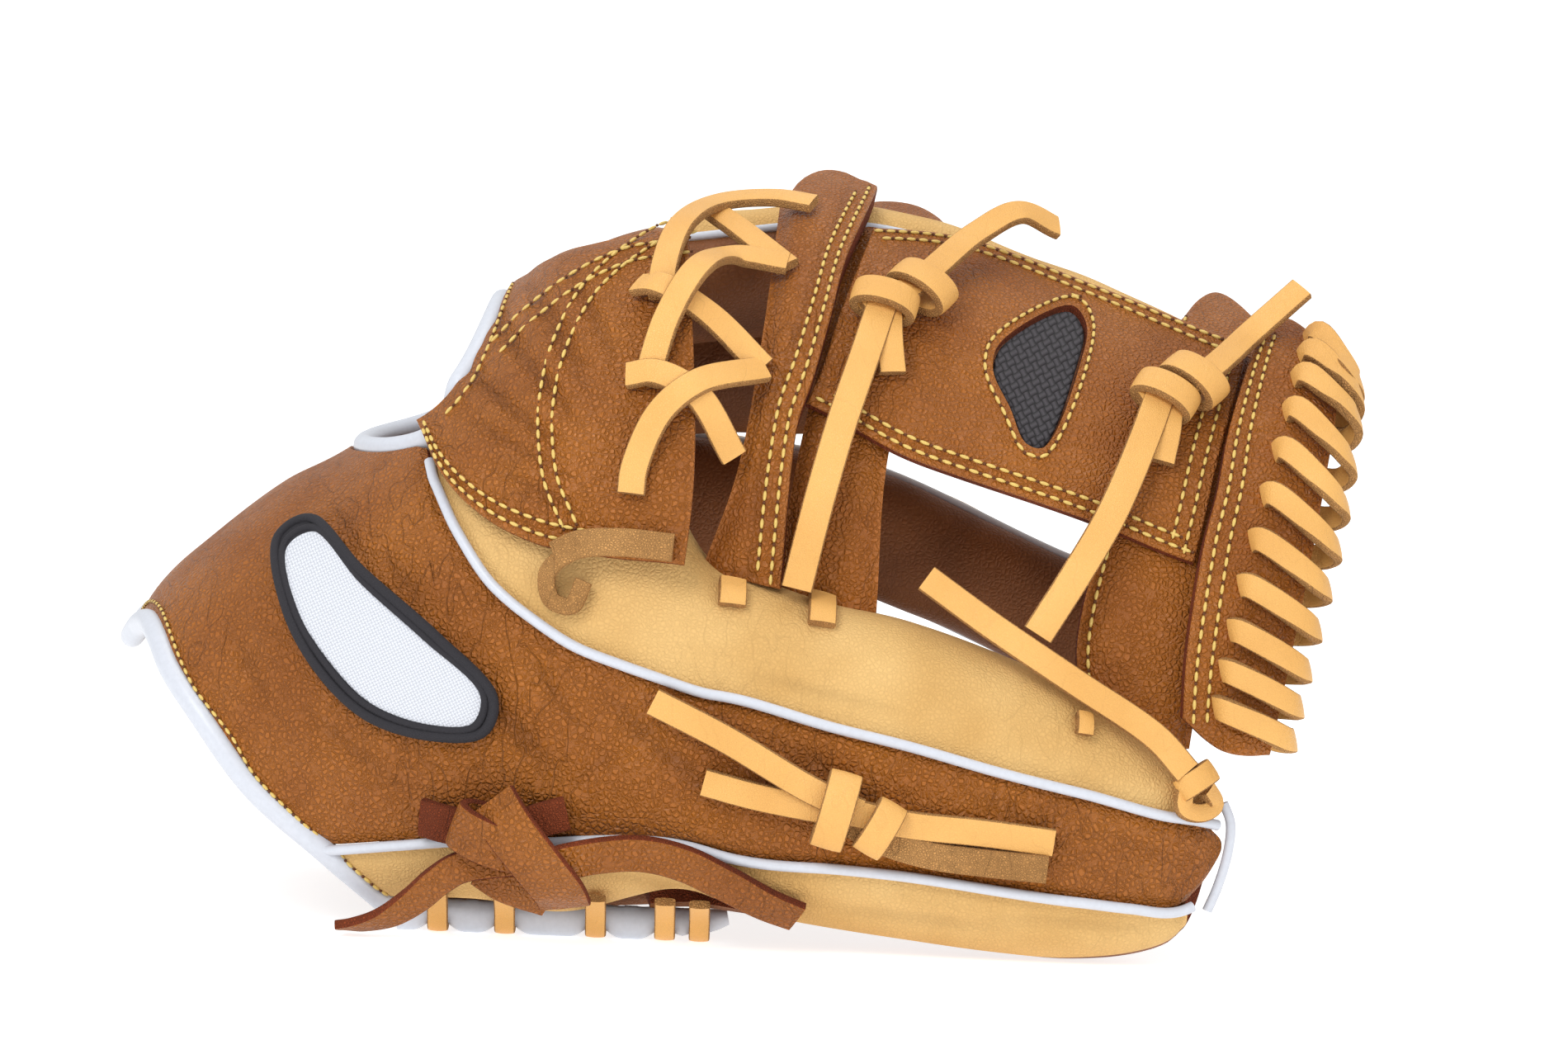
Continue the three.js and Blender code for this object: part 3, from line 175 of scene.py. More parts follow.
class Sheet:
    """Leather between four edge lines of a shell, with its relief, and a way to find places on it."""

    def __init__(self, surface, low, high, left, right, lift=0.0, thick=LEATHER, rolls=(0, 0, 0, 0),
                 relief=None):
        self.surface, self.sides, self.lift, self.thick = surface, (low, high, left, right), lift, thick
        self.rolls, self.relief = rolls, relief
        s = np.linspace(0, 1, 41)
        u, v = np.meshgrid(s, s, indexing="ij")
        p = self.bare(u, v)
        self.long = np.linalg.norm(np.diff(p, axis=0), axis=-1).sum(0)
        self.wide = np.linalg.norm(np.diff(p, axis=1), axis=-1).sum(1)
        self.s = s

    def place(self, u, v):
        low, high, left, right = self.sides
        l, h, a, b = low(u), high(u), left(v), right(v)
        c = [side(np.array(t)) for side in (low, high) for t in (0.0, 1.0)]
        return [l[k] + (h[k] - l[k]) * v + a[k] + (b[k] - a[k]) * u
                - ((c[0][k] + (c[1][k] - c[0][k]) * u) * (1 - v) + (c[2][k] + (c[3][k] - c[2][k]) * u) * v)
                for k in (0, 1)]

    def bare(self, u, v):
        return self.surface.point(*self.place(u, v))

    def normal(self, u, v):
        return normal_at(self.surface, *self.place(u, v))

    def distances(self, u, v):
        wide = np.interp(u, self.s, self.wide)
        long = np.interp(v, self.s, self.long)
        return v * wide, (1 - v) * wide, u * long, (1 - u) * long

    def height(self, u, v, p):
        gaps = self.distances(u, v)
        h = np.zeros_like(u)
        for gap, drop in zip(gaps, self.rolls):
            if drop > 0:
                h -= drop * np.exp(-((gap / (1.6 + drop)) ** 2))
            else:
                near = np.clip(1 - gap / 0.7, 0, 1)
                h -= 0.7 * (1 - np.sqrt(1 - near**2))
        if self.relief:
            h += self.relief(p, gaps)
        return h

    def at(self, u, v, up=0.0):
        u, v = np.broadcast_arrays(np.asarray(u, float), np.asarray(v, float))
        p = self.bare(u, v)
        return p + self.normal(u, v) * (self.lift + self.height(u, v, p) + up)[..., None]

    def row(self, side, inset, up=0.25, start=None, stop=None, step=1.2):
        """Places along one side, a given distance in from it."""
        start = inset if start is None else start
        stop = inset if stop is None else stop
        across = side in ("low", "high")
        size = float(np.mean(self.long if across else self.wide))
        t = np.linspace(start / size, 1 - stop / size, max(3, int(size / step)))
        inward = inset / np.interp(t, self.s, self.wide if across else self.long)
        if side in ("high", "right"):
            inward = 1 - inward
        return self.at(t, inward, up) if across else self.at(inward, t, up)

    def part(self, step=1.5, colours=(0, 1, 2)):
        rims = np.array([0, 0.12, 0.35, 0.7, 1.3, 2.2])

        def stops(size):
            count = max(4, int((size - 4.4) / step))
            middle = np.linspace(2.2, size - 2.2, count + 1)[1:-1]
            return np.concatenate([rims, middle, size - rims[::-1]]) / size

        us, vs = stops(float(np.mean(self.long))), stops(float(np.mean(self.wide)))
        u, v = np.meshgrid(us, vs, indexing="ij")
        outer = self.at(u, v)
        p = self.bare(u, v)
        inner = p + self.normal(u, v) * (self.lift - self.thick)
        rim = np.minimum.reduce(self.distances(u, v))
        fold = self.relief(p, self.distances(u, v)) if self.relief else 0 * u
        return grids(outer, inner, rim, fold, colours)


def grids(outer, inner, rim, fold, colours):
    """Two grids of points closed round their edges, as (points, faces, face colours, rim, fold)."""
    nu, nv = outer.shape[:2]
    n = nu * nv
    k = np.arange(n).reshape(nu, nv)
    a, b, c, d = k[:-1, :-1].ravel(), k[1:, :-1].ravel(), k[1:, 1:].ravel(), k[:-1, 1:].ravel()
    front = np.stack([a, b, c, d], 1)
    back = np.stack([n + a, n + d, n + c, n + b], 1)
    ring = np.concatenate([k[:, 0], k[-1, 1:], k[-2::-1, -1], k[0, -2:0:-1]])
    after = np.roll(ring, -1)
    side = np.stack([ring, n + ring, n + after, after], 1)
    faces = np.concatenate([front, back, side])
    tone = np.repeat(colours, [len(front), len(back), len(side)])
    points = np.concatenate([outer.reshape(-1, 3), inner.reshape(-1, 3)])
    return points, faces, tone, np.tile(rim.ravel(), 2), np.tile(fold.ravel(), 2)


def build(name, parts, materials, sharp=55):
    """One object of several parts, shaded smooth, riding on the glove."""
    points, faces, tones, rims, folds, base = [], [], [], [], [], 0
    for p, f, t, r, h in parts:
        points.append(p)
        faces.append(np.asarray(f) + base)
        tones.append(t)
        rims.append(r)
        folds.append(h)
        base += len(p)
    points, faces = (np.concatenate(points) + SHIFT) / 1000, np.concatenate(faces)
    mesh = bpy.data.meshes.new(name)
    mesh.vertices.add(len(points))
    mesh.vertices.foreach_set("co", points.ravel())
    mesh.loops.add(faces.size)
    mesh.loops.foreach_set("vertex_index", faces.ravel())
    mesh.polygons.add(len(faces))
    mesh.polygons.foreach_set("loop_start", np.arange(len(faces)) * faces.shape[1])
    mesh.polygons.foreach_set("material_index", np.concatenate(tones).astype(np.int32))
    mesh.update(calc_edges=True)
    mesh.validate()
    for key, values in (("rim", rims), ("fold", folds)):
        layer = mesh.attributes.new(key, "FLOAT", "POINT")
        layer.data.foreach_set("value", np.concatenate(values).astype(np.float32))
    mesh.polygons.foreach_set("use_smooth", np.ones(len(mesh.polygons), bool))
    mesh.set_sharp_from_angle(angle=math.radians(sharp))
    for material in materials:
        mesh.materials.append(material)
    piece = bpy.data.objects.new("dressed_" + name, mesh)
    bpy.context.scene.collection.objects.link(piece)
    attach(piece, "root")
    return piece


def creases(rows):
    """Valleys of a given width and depth along lines of the side view, with a low ridge each side."""
    def relief(p):
        h = np.zeros(p.shape[:-1])
        for x0, z0, x1, z1, width, depth in rows:
            d = np.array([x1 - x0, z1 - z0])
            q = p[..., [0, 2]] - [x0, z0]
            t = np.clip((q @ d) / (d @ d), 0, 1)
            far = np.linalg.norm(q - t[..., None] * d, axis=-1)
            bow = np.sin(math.pi * (0.1 + 0.8 * t))
            h += depth * bow * (0.45 * np.exp(-(((far - 1.9 * width) / width) ** 2))
                                - np.exp(-((far / width) ** 2)))
        return h
    return relief


def tint(r, g, b):
    """A colour as it looks on the photograph, 0 to 255, as Blender's linear colour."""
    return tuple(c / 12.92 if c <= 0.04045 else ((c + 0.055) / 1.055) ** 2.4
                 for c in (r / 255, g / 255, b / 255)) + (1.0,)


def add(tree, kind, inputs=None, **settings):
    node = tree.nodes.new(kind)
    for key, value in settings.items():
        setattr(node, key, value)
    for key, value in (inputs or {}).items():
        if isinstance(value, bpy.types.NodeSocket):
            tree.links.new(value, node.inputs[key])
        else:
            node.inputs[key].default_value = value
    return node


def grain_group():
    """Pebbled leather: its height, a broad mottle and a fine one, from a vector and the pebbles per metre."""
    tree = bpy.data.node_groups.new("LeatherGrain", "ShaderNodeTree")
    face = tree.interface
    face.new_socket("Vector", in_out="INPUT", socket_type="NodeSocketVector")
    face.new_socket("Pebbles", in_out="INPUT", socket_type="NodeSocketFloat")
    for name in ("Height", "Mottle", "Fine"):
        face.new_socket(name, in_out="OUTPUT", socket_type="NodeSocketFloat")
    start, end = tree.nodes.new("NodeGroupInput"), tree.nodes.new("NodeGroupOutput")
    warp = add(tree, "ShaderNodeTexNoise", {"Vector": start.outputs["Vector"], "Scale": 260.0,
                                            "Detail": 0.0})
    push = add(tree, "ShaderNodeVectorMath", {0: warp.outputs["Color"], "Scale": 0.0011}, operation="SCALE")
    moved = add(tree, "ShaderNodeVectorMath", {0: start.outputs["Vector"], 1: push.outputs[0]},
                operation="ADD")
    cells = add(tree, "ShaderNodeTexVoronoi", {"Vector": moved.outputs[0],
                                               "Scale": start.outputs["Pebbles"]},
                feature="DISTANCE_TO_EDGE")
    dome = add(tree, "ShaderNodeMapRange", {"Value": cells.outputs["Distance"], "From Min": 0.0,
                                            "From Max": 0.28},
               interpolation_type="SMOOTHSTEP")
    fine = add(tree, "ShaderNodeTexNoise", {"Vector": start.outputs["Vector"], "Scale": 2600.0,
                                            "Detail": 0.0})
    soft = add(tree, "ShaderNodeMath", {0: fine.outputs["Fac"], 1: 0.35}, operation="MULTIPLY")
    both = add(tree, "ShaderNodeMath", {0: dome.outputs[0], 1: soft.outputs[0]}, operation="ADD")
    drawn = add(tree, "ShaderNodeVectorMath", {0: moved.outputs[0], 1: (1.0, 0.6, 0.42)},
                operation="MULTIPLY")
    wave = add(tree, "ShaderNodeTexNoise", {"Vector": drawn.outputs[0], "Scale": 190.0, "Detail": 1.0})
    level = add(tree, "ShaderNodeMath", {0: wave.outputs["Fac"], 1: 0.5}, operation="SUBTRACT")
    away = add(tree, "ShaderNodeMath", {0: level.outputs[0]}, operation="ABSOLUTE")
    line = add(tree, "ShaderNodeMapRange", {"Value": away.outputs[0], "From Min": 0.0, "From Max": 0.022,
                                            "To Min": 1.0, "To Max": 0.0}, interpolation_type="SMOOTHSTEP")
    area = add(tree, "ShaderNodeTexNoise", {"Vector": start.outputs["Vector"], "Scale": 24.0,
                                            "Detail": 0.0})
    where = add(tree, "ShaderNodeMapRange", {"Value": area.outputs["Fac"], "From Min": 0.44,
                                             "From Max": 0.6})
    deep = add(tree, "ShaderNodeMath", {0: line.outputs[0], 1: where.outputs[0]}, operation="MULTIPLY")
    shallow = add(tree, "ShaderNodeMath", {0: deep.outputs[0], 1: 0.9}, operation="MULTIPLY")
    lined = add(tree, "ShaderNodeMath", {0: both.outputs[0], 1: shallow.outputs[0]}, operation="SUBTRACT")
    broad = add(tree, "ShaderNodeTexNoise", {"Vector": start.outputs["Vector"], "Scale": 42.0,
                                             "Detail": 1.5,
                                             "Roughness": 0.62})
    spread = add(tree, "ShaderNodeMapRange", {"Value": broad.outputs["Fac"], "From Min": 0.32,
                                              "From Max": 0.7})
    tree.links.new(lined.outputs[0], end.inputs["Height"])
    tree.links.new(spread.outputs[0], end.inputs["Mottle"])
    tree.links.new(fine.outputs["Fac"], end.inputs["Fine"])
    return tree


GRAIN = grain_group()


def leather(name, light, dark, pebbles, bump, roughness, mottle=0.75, rub=0.35):
    """Leather with grain, mottled colour, painted shade in its grain pits and creases, and paler rubbed
    edges.
    """
    material = bpy.data.materials.new(name)
    material.use_nodes = True
    tree = material.node_tree
    shader = tree.nodes["Principled BSDF"]
    where = add(tree, "ShaderNodeTexCoord")
    grain = add(tree, "ShaderNodeGroup", node_tree=GRAIN)
    tree.links.new(where.outputs["Object"], grain.inputs["Vector"])
    grain.inputs["Pebbles"].default_value = pebbles
    patch = add(tree, "ShaderNodeMath", {0: grain.outputs["Mottle"], 1: mottle}, operation="MULTIPLY")
    base = add(tree, "ShaderNodeMix", {"Factor": patch.outputs[0], "A": light, "B": dark}, data_type="RGBA")
    # Painted shade: the low spots of the grain are mixed towards deep, a darkened copy of the dark colour.
    pit_shade = add(tree, "ShaderNodeMapRange", {"Value": grain.outputs["Height"], "From Min": 0.1,
                                            "From Max": 0.6,
                                            "To Min": 0.34 * bump, "To Max": 0.0})
    deep = tuple(0.35 * c for c in dark[:3]) + (1.0,)
    pit_shaded = add(tree, "ShaderNodeMix", {"Factor": pit_shade.outputs[0], "A": base.outputs["Result"], "B": deep},
                 data_type="RGBA")
    # Painted shade: the colour darkens towards deep in the valleys of the creases, read from the fold
    # attribute.
    fold = add(tree, "ShaderNodeAttribute", attribute_name="fold")
    crease = add(tree, "ShaderNodeMapRange", {"Value": fold.outputs["Fac"], "From Min": -0.1,
                                              "From Max": -1.1,
                                              "To Min": 0.0, "To Max": 0.5})
    crease_shaded = add(tree, "ShaderNodeMix", {"Factor": crease.outputs[0], "A": pit_shaded.outputs["Result"],
                                         "B": deep},
                 data_type="RGBA")
    rim = add(tree, "ShaderNodeAttribute", attribute_name="rim")
    worn = add(tree, "ShaderNodeMapRange", {"Value": rim.outputs["Fac"], "From Min": 1.6, "From Max": 0.0,
                                            "To Min": 0.0, "To Max": rub})
    pale = tuple(min(1.0, 1.25 * c + 0.03) for c in light[:3]) + (1.0,)
    rubbed = add(tree, "ShaderNodeMix", {"Factor": worn.outputs[0], "A": crease_shaded.outputs["Result"],
                                         "B": pale},
                 data_type="RGBA")
    tree.links.new(rubbed.outputs["Result"], shader.inputs["Base Color"])
    gloss = add(tree, "ShaderNodeMapRange", {"Value": grain.outputs["Mottle"], "To Min": roughness - 0.06,
                                             "To Max": roughness + 0.1})
    tree.links.new(gloss.outputs[0], shader.inputs["Roughness"])
    relief = add(tree, "ShaderNodeBump", {"Height": grain.outputs["Height"], "Strength": bump,
                                          "Distance": 0.0006})
    tree.links.new(relief.outputs[0], shader.inputs["Normal"])
    shader.inputs["Specular IOR Level"].default_value = 0.3
    return material


def stitch_tree():
    """Stitches of a given pitch and length along the lines of a mesh, with a dark dot of painted shade for
    each needle hole between them.
    """
    tree = bpy.data.node_groups.new("StitchRow", "GeometryNodeTree")
    face = tree.interface
    face.new_socket("Lines", in_out="INPUT", socket_type="NodeSocketGeometry")
    for name, value in (("Pitch", 0.0032), ("Length", 0.0025), ("Thread", 0.0005)):
        face.new_socket(name, in_out="INPUT", socket_type="NodeSocketFloat").default_value = value
    face.new_socket("Thread Look", in_out="INPUT", socket_type="NodeSocketMaterial")
    face.new_socket("Hole Shade Look", in_out="INPUT", socket_type="NodeSocketMaterial")
    face.new_socket("Stitches", in_out="OUTPUT", socket_type="NodeSocketGeometry")
    start, end = tree.nodes.new("NodeGroupInput"), tree.nodes.new("NodeGroupOutput")
    line = add(tree, "GeometryNodeMeshToCurve", {"Mesh": start.outputs["Lines"]})
    beads = add(tree, "GeometryNodeResampleCurve", {"Curve": line.outputs[0],
                                                    "Length": start.outputs["Pitch"]},
                mode="LENGTH")
    tangent = add(tree, "GeometryNodeInputTangent")
    turn = add(tree, "FunctionNodeAlignRotationToVector", {"Vector": tangent.outputs[0]}, axis="X")
    half = add(tree, "ShaderNodeMath", {0: start.outputs["Length"], 1: 0.5}, operation="MULTIPLY")
    size = add(tree, "ShaderNodeCombineXYZ", {"X": half.outputs[0], "Y": start.outputs["Thread"],
                                              "Z": start.outputs["Thread"]})
    ball = add(tree, "GeometryNodeMeshIcoSphere", {"Radius": 1.0, "Subdivisions": 2})
    loops = add(tree, "GeometryNodeInstanceOnPoints",
                {"Points": beads.outputs[0], "Instance": ball.outputs["Mesh"],
                                                       "Rotation": turn.outputs[0],
                 "Scale": size.outputs[0]})
    solid = add(tree, "GeometryNodeRealizeInstances", {"Geometry": loops.outputs[0]})
    thread = add(tree, "GeometryNodeSetMaterial", {"Geometry": solid.outputs[0],
                                                   "Material": start.outputs["Thread Look"]})
    # Painted shade: a small dark ball stands for the shade in each needle hole.
    pin = add(tree, "GeometryNodeMeshIcoSphere", {"Radius": 0.00042, "Subdivisions": 1})
    pins = add(tree, "GeometryNodeInstanceOnPoints",
               {"Points": beads.outputs[0], "Instance": pin.outputs["Mesh"],
                                                      "Rotation": turn.outputs[0]})
    step = add(tree, "ShaderNodeMath", {0: start.outputs["Pitch"], 1: 0.5}, operation="MULTIPLY")
    ahead = add(tree, "ShaderNodeCombineXYZ", {"X": step.outputs[0]})
    moved = add(tree, "GeometryNodeTranslateInstances", {"Instances": pins.outputs[0],
                                                         "Translation": ahead.outputs[0],
                                                         "Local Space": True})
    dots = add(tree, "GeometryNodeRealizeInstances", {"Geometry": moved.outputs[0]})
    holes = add(tree, "GeometryNodeSetMaterial", {"Geometry": dots.outputs[0],
                                                  "Material": start.outputs["Hole Shade Look"]})
    both = add(tree, "GeometryNodeJoinGeometry")
    tree.links.new(thread.outputs[0], both.inputs[0])
    tree.links.new(holes.outputs[0], both.inputs[0])
    tree.links.new(both.outputs[0], end.inputs["Stitches"])
    return tree


STITCHES = stitch_tree()


def plain(name, colour, roughness, bump=0.0, scale=2000.0, fade=0.62):
    """A simple surface with a little fine mottle and bump."""
    material = bpy.data.materials.new(name)
    material.use_nodes = True
    tree = material.node_tree
    shader = tree.nodes["Principled BSDF"]
    where = add(tree, "ShaderNodeTexCoord")
    noise = add(tree, "ShaderNodeTexNoise", {"Vector": where.outputs["Object"], "Scale": scale,
                                             "Detail": 3.0})
    darker = tuple(fade * c for c in colour[:3]) + (1.0,)
    tone = add(tree, "ShaderNodeMix", {"Factor": noise.outputs["Fac"], "A": colour, "B": darker},
               data_type="RGBA")
    tree.links.new(tone.outputs["Result"], shader.inputs["Base Color"])
    relief = add(tree, "ShaderNodeBump", {"Height": noise.outputs["Fac"], "Strength": bump,
                                          "Distance": 0.0003})
    tree.links.new(relief.outputs[0], shader.inputs["Normal"])
    shader.inputs["Roughness"].default_value = roughness
    return material


THREAD = plain("gold_thread", tint(232, 198, 108), 0.5, 0.3)
# Painted shade: the dark brown of the needle holes stands in for their shade.
NEEDLE_HOLE_SHADE = plain("needle_hole_shade", tint(104, 60, 30), 0.9)


def stitch(name, lines, pitch=3.2, length=2.5, thread=0.44, look=None):
    """Rows of stitches along lines of places in millimetres."""
    points, links = [], []
    for line in lines:
        first = len(points)
        points += [tuple((np.asarray(p) + SHIFT) / 1000) for p in line]
        links += [(i, i + 1) for i in range(first, len(points) - 1)]
    mesh = bpy.data.meshes.new(name + "_lines")
    mesh.from_pydata(points, links, [])
    guide = bpy.data.objects.new(name + "_lines", mesh)
    bpy.context.scene.collection.objects.link(guide)
    sew = guide.modifiers.new("sew", "NODES")
    sew.node_group = STITCHES
    values = {"Pitch": pitch / 1000, "Length": length / 1000, "Thread": thread / 1000,
              "Thread Look": look or THREAD, "Hole Shade Look": NEEDLE_HOLE_SHADE}
    for item in STITCHES.interface.items_tree:
        if item.in_out == "INPUT" and item.name in values:
            sew[item.identifier] = values[item.name]
    bpy.context.view_layer.update()
    sewn = bpy.data.meshes.new_from_object(guide.evaluated_get(bpy.context.evaluated_depsgraph_get()))
    sewn.polygons.foreach_set("use_smooth", np.ones(len(sewn.polygons), bool))
    guide.modifiers.clear()
    bpy.data.objects.remove(guide)
    piece = bpy.data.objects.new(name, sewn)
    bpy.context.scene.collection.objects.link(piece)
    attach(piece, "root")
    return piece


BROWN = leather("brown_leather", tint(164, 97, 30), tint(140, 78, 22), 760, 0.85, 0.4)
INSIDE = leather("glove_lining", tint(178, 128, 80), tint(130, 88, 50), 500, 0.25, 0.8)
RUST = leather("cut_edge", tint(136, 62, 28), tint(92, 38, 16), 1500, 0.8, 0.9, rub=0.0)

OPENING = {"x": -72, "z": 123, "long": 23.7, "wide": 42, "slope": math.atan2(0.6, 0.8)}


def cut_opening(piece, grow=3.15):
    """Cuts the oval of the open back out of a piece."""
    turn = np.linspace(0, 2 * math.pi, 72, endpoint=False)
    oval = np.stack([(OPENING["long"] + grow) * np.cos(turn), (OPENING["wide"] + grow) * np.sin(turn)], 1)
    c, s = math.cos(OPENING["slope"]), math.sin(OPENING["slope"])
    points = []
    for up in (-45, 45):
        points += [((OPENING["x"] + a * c - up * s + SHIFT[0]) / 1000, (b + SHIFT[1]) / 1000,
                    (OPENING["z"] + a * s + up * c) / 1000) for a, b in oval]
    n = len(oval)
    faces = [[i, (i + 1) % n, n + (i + 1) % n, n + i] for i in range(n)] + [list(range(n))[::-1],
                                                                            list(range(n, 2 * n))]
    mesh = bpy.data.meshes.new("oval")
    mesh.from_pydata(points, [], faces)
    oval_tool = bpy.data.objects.new("oval", mesh)
    bpy.context.scene.collection.objects.link(oval_tool)
    cutter = piece.modifiers.new("opening", "BOOLEAN")
    cutter.object, cutter.operation, cutter.solver = oval_tool, "DIFFERENCE", "EXACT"
    bpy.context.view_layer.update()
    done = bpy.data.meshes.new_from_object(piece.evaluated_get(bpy.context.evaluated_depsgraph_get()))
    piece.modifiers.clear()
    piece.data = done
    bpy.data.objects.remove(oval_tool)


def wrist_x(angle):
    turned = np.where(angle > math.pi / 2, math.pi - angle, angle)
    angles = [float(hand_shell.angle(x, z)) for x, z in WRIST_EDGE] + [math.pi / 2]
    return blend(angles, column(WRIST_EDGE, 0) + [-145.5], turned)


def wrist_side(a, b):
    return lambda t: (wrist_x(a + (b - a) * t) + 1.6, a + (b - a) * t)


back_creases = creases([
    (-58, 60, -40, 40, 3.0, 0.9), (-50, 70, -30, 47, 2.4, 0.7), (-30, 60, 0, 34, 3.2, 0.8),
    (-38, 36, -20, 52, 2.0, 0.6), (10, 52, 44, 30, 3.4, 0.7), (52, 44, 88, 22, 3.0, 0.6),
    (-84, 90, -70, 76, 2.6, 0.7), (-100, 52, -72, 34, 2.8, 0.7), (-118, 70, -104, 48, 2.6, 0.6),
    (-74, 70, -62, 46, 2.2, 0.5), (70, 36, 104, 26, 2.4, 0.5), (-96, 98, -84, 84, 2.0, 0.6),
    (-12, 46, 14, 42, 2.0, 0.4), (-58, 34, -30, 30, 2.2, 0.5)])
CORNER = (-93, 19.3)
RIM_ANGLES = [(-141, 0, 1.79), (-125, 0, 1.79), (-104, 0, 1.79), (-95, 0, 1.7), (-86, 0, 1.4),
              (-79, 0, 1.15)]
panel = Sheet(
    thumb_shell,
    edge(thumb_shell, [CORNER] + shifted(LOWER_SEAM, SEAM)[1:]),
    edge(thumb_shell, RIM_ANGLES + shifted(UPPER_SEAM, -SEAM)),
    wrist_side(float(thumb_shell.angle(*CORNER)), 1.79),
    bowed(on(thumb_shell, shifted(LOWER_SEAM, SEAM)[-1]), on(thumb_shell, shifted(UPPER_SEAM, -SEAM)[-1]),
          4.2),
    rolls=(1.3, 1.3, 0.6, 0.9),
    relief=lambda p, gaps: back_creases(p))
back_panel = build("back_of_thumb", [panel.part()], [BROWN, INSIDE, RUST])
cut_opening(back_panel)
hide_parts("back_panel")
wrist_rows = stitch("wrist_stitching", [panel.row("left", 1.8)], 2.6, 2.0, 0.4)

# Tan bands of the thumb.
# Tan nubuck lies above and below the brown panel: the soft side of the thumb stall.
# Both bands are sewn into the pipings, and the upper one runs on under the web.
TAN = leather("tan_nubuck", tint(220, 180, 116), tint(202, 158, 94), 1000, 0.4, 0.75, mottle=0.9)
BOTTOM_EDGE = [(-79, 7.8), (-50, 7.8), (-28, 8), (-8, 0, -1.05), (15, 0, -1.42), (60, 0, -1.45),
               (106.5, 0, -1.3)]
band_creases = creases([
    (20, 12, 70, 8, 2.4, 0.5), (60, 12, 100, 9, 2.0, 0.5), (-40, 18, 0, 14, 2.2, 0.4),
                        (0, 66, 40, 58, 2.4, 0.5)])
lower = Sheet(
    thumb_shell,
    edge(thumb_shell, BOTTOM_EDGE),
    edge(thumb_shell, [(-91.3, 17.9)] + shifted(LOWER_SEAM, -SEAM)[1:]),
    rise(thumb_shell, [(-79, 7.8), (-83.5, 11.6), (-91.3, 17.9)]),
    straight((106.5, -1.3), on(thumb_shell, shifted(LOWER_SEAM, -SEAM)[-1])),
    rolls=(0.6, 1.0, 0.5, 0.6), relief=lambda p, gaps: band_creases(p))
band_lower = build("thumb_band_lower", [lower.part()], [TAN, INSIDE, TAN])
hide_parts("thumb_band_lower")
heel_row = stitch("heel_stitching", [lower.row("left", 1.6)], 2.6, 2.0, 0.4)
upper = Sheet(
    thumb_shell,
    edge(thumb_shell, [(-72.8, 113.9)] + shifted(UPPER_SEAM, SEAM)[1:]),
    edge(thumb_shell, [(-68, 108.4), (-58, 100.6), (-44, 98), (-30, 96), (-12, 0, 1.62), (10, 0, 1.9),
                       (40, 0, 2.1), (80, 0, 2.1), (111.5, 0, 1.9)]),
    straight(on(thumb_shell, (-72.8, 113.9)), on(thumb_shell, (-68, 108.4))),
    straight(on(thumb_shell, shifted(UPPER_SEAM, SEAM)[-1]), (111.5, 1.9)),
    rolls=(1.1, 0, 0.4, 0.6), relief=lambda p, gaps: band_creases(p))
band_upper = build("thumb_band_upper", [upper.part()], [TAN, INSIDE, TAN])
cut_opening(band_upper)
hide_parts("thumb_band_upper")

# Panel beside the open back.
# Brown leather from the open back down to the crotch, with fan wrinkles and double gold rows.
# It lies on the hand's leather and is bent tight over the first knuckle.
CROTCH_LOW = [(-73.2, 114.5), (-67.3, 105.2), (-58.5, 97.5), (-46, 92.2), (-32.8, 90.3), (-12, 89)]
CROTCH_RIGHT = [(-12, 89), (-10.8, 103), (-10.8, 118), (-12.5, 141), (-14.5, 160)]


def top_seam(x):
    return 1.8 + (1.47 - 1.8) * float(ease(np.array(float(x)), -64, -34))


def seam_line(a, b, aside):
    return [(x, 0, top_seam(x) + aside) for x in np.linspace(a, b, 7)]


fan = creases([
    (-58, 140, -36, 118, 2.0, 0.9), (-64, 128, -40, 112, 2.0, 1.0), (-62, 118, -38, 106, 2.0, 0.9),
    (-50, 148, -32, 124, 2.0, 0.8), (-40, 150, -28, 130, 1.8, 0.7), (-56, 108, -36, 100, 1.8, 0.8),
    (-44, 136, -30, 116, 1.6, 0.6)])
crotch = Sheet(
    hand_shell,
    edge(hand_shell, [(-80, 118)] + CROTCH_LOW),
    edge(hand_shell, seam_line(-80, -14.5, -0.012)),
    straight((-80, float(hand_shell.angle(-80, 118))), (-80, top_seam(-80) - 0.012)),
    rise(hand_shell, CROTCH_RIGHT),
    lift=LEATHER + 2.5, rolls=(0, 1.0, 0, 0), relief=lambda p, gaps: fan(p))
crotch_panel = build("crotch_panel", [crotch.part()], [BROWN, INSIDE, RUST])
cut_opening(crotch_panel)
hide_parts("crotch_panel")

# Back of the hand.
# The far side: one brown panel from the wrist strap round the open back to the fingers' roots.
# It is plain, because nothing of it is seen from the thumb side.
far_creases = creases([(-60, 120, -40, 60, 4, 0.8), (-90, 90, -60, 40, 4, 0.7),
                       (-40, 130, -28, 80, 3, 0.6)])
foot = [(x, 0, math.pi - float(hand_shell.angle(x, z))) for x,
        z in ((-80, 2.5), (-60, 0), (-44, 6), (-21, 40))]
back = Sheet(
    hand_shell,
    edge(hand_shell, seam_line(-141, -21, 0.012)),
    edge(hand_shell, foot),
    wrist_side(top_seam(-141) + 0.012, foot[0][2]),
    straight((-21, top_seam(-20) + 0.012), (-21, foot[3][2])),
    rolls=(0.9, 0.6, 0.6, 0.8), relief=lambda p, gaps: far_creases(p))
points, faces, tone, rim, fold = back.part(1.9)
points[:, 2] = np.maximum(points[:, 2], 0.0)
hand_back = build("back_of_hand", [(points, faces, tone, rim, fold)], [BROWN, INSIDE, RUST])
cut_opening(hand_back)
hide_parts("hand_back")

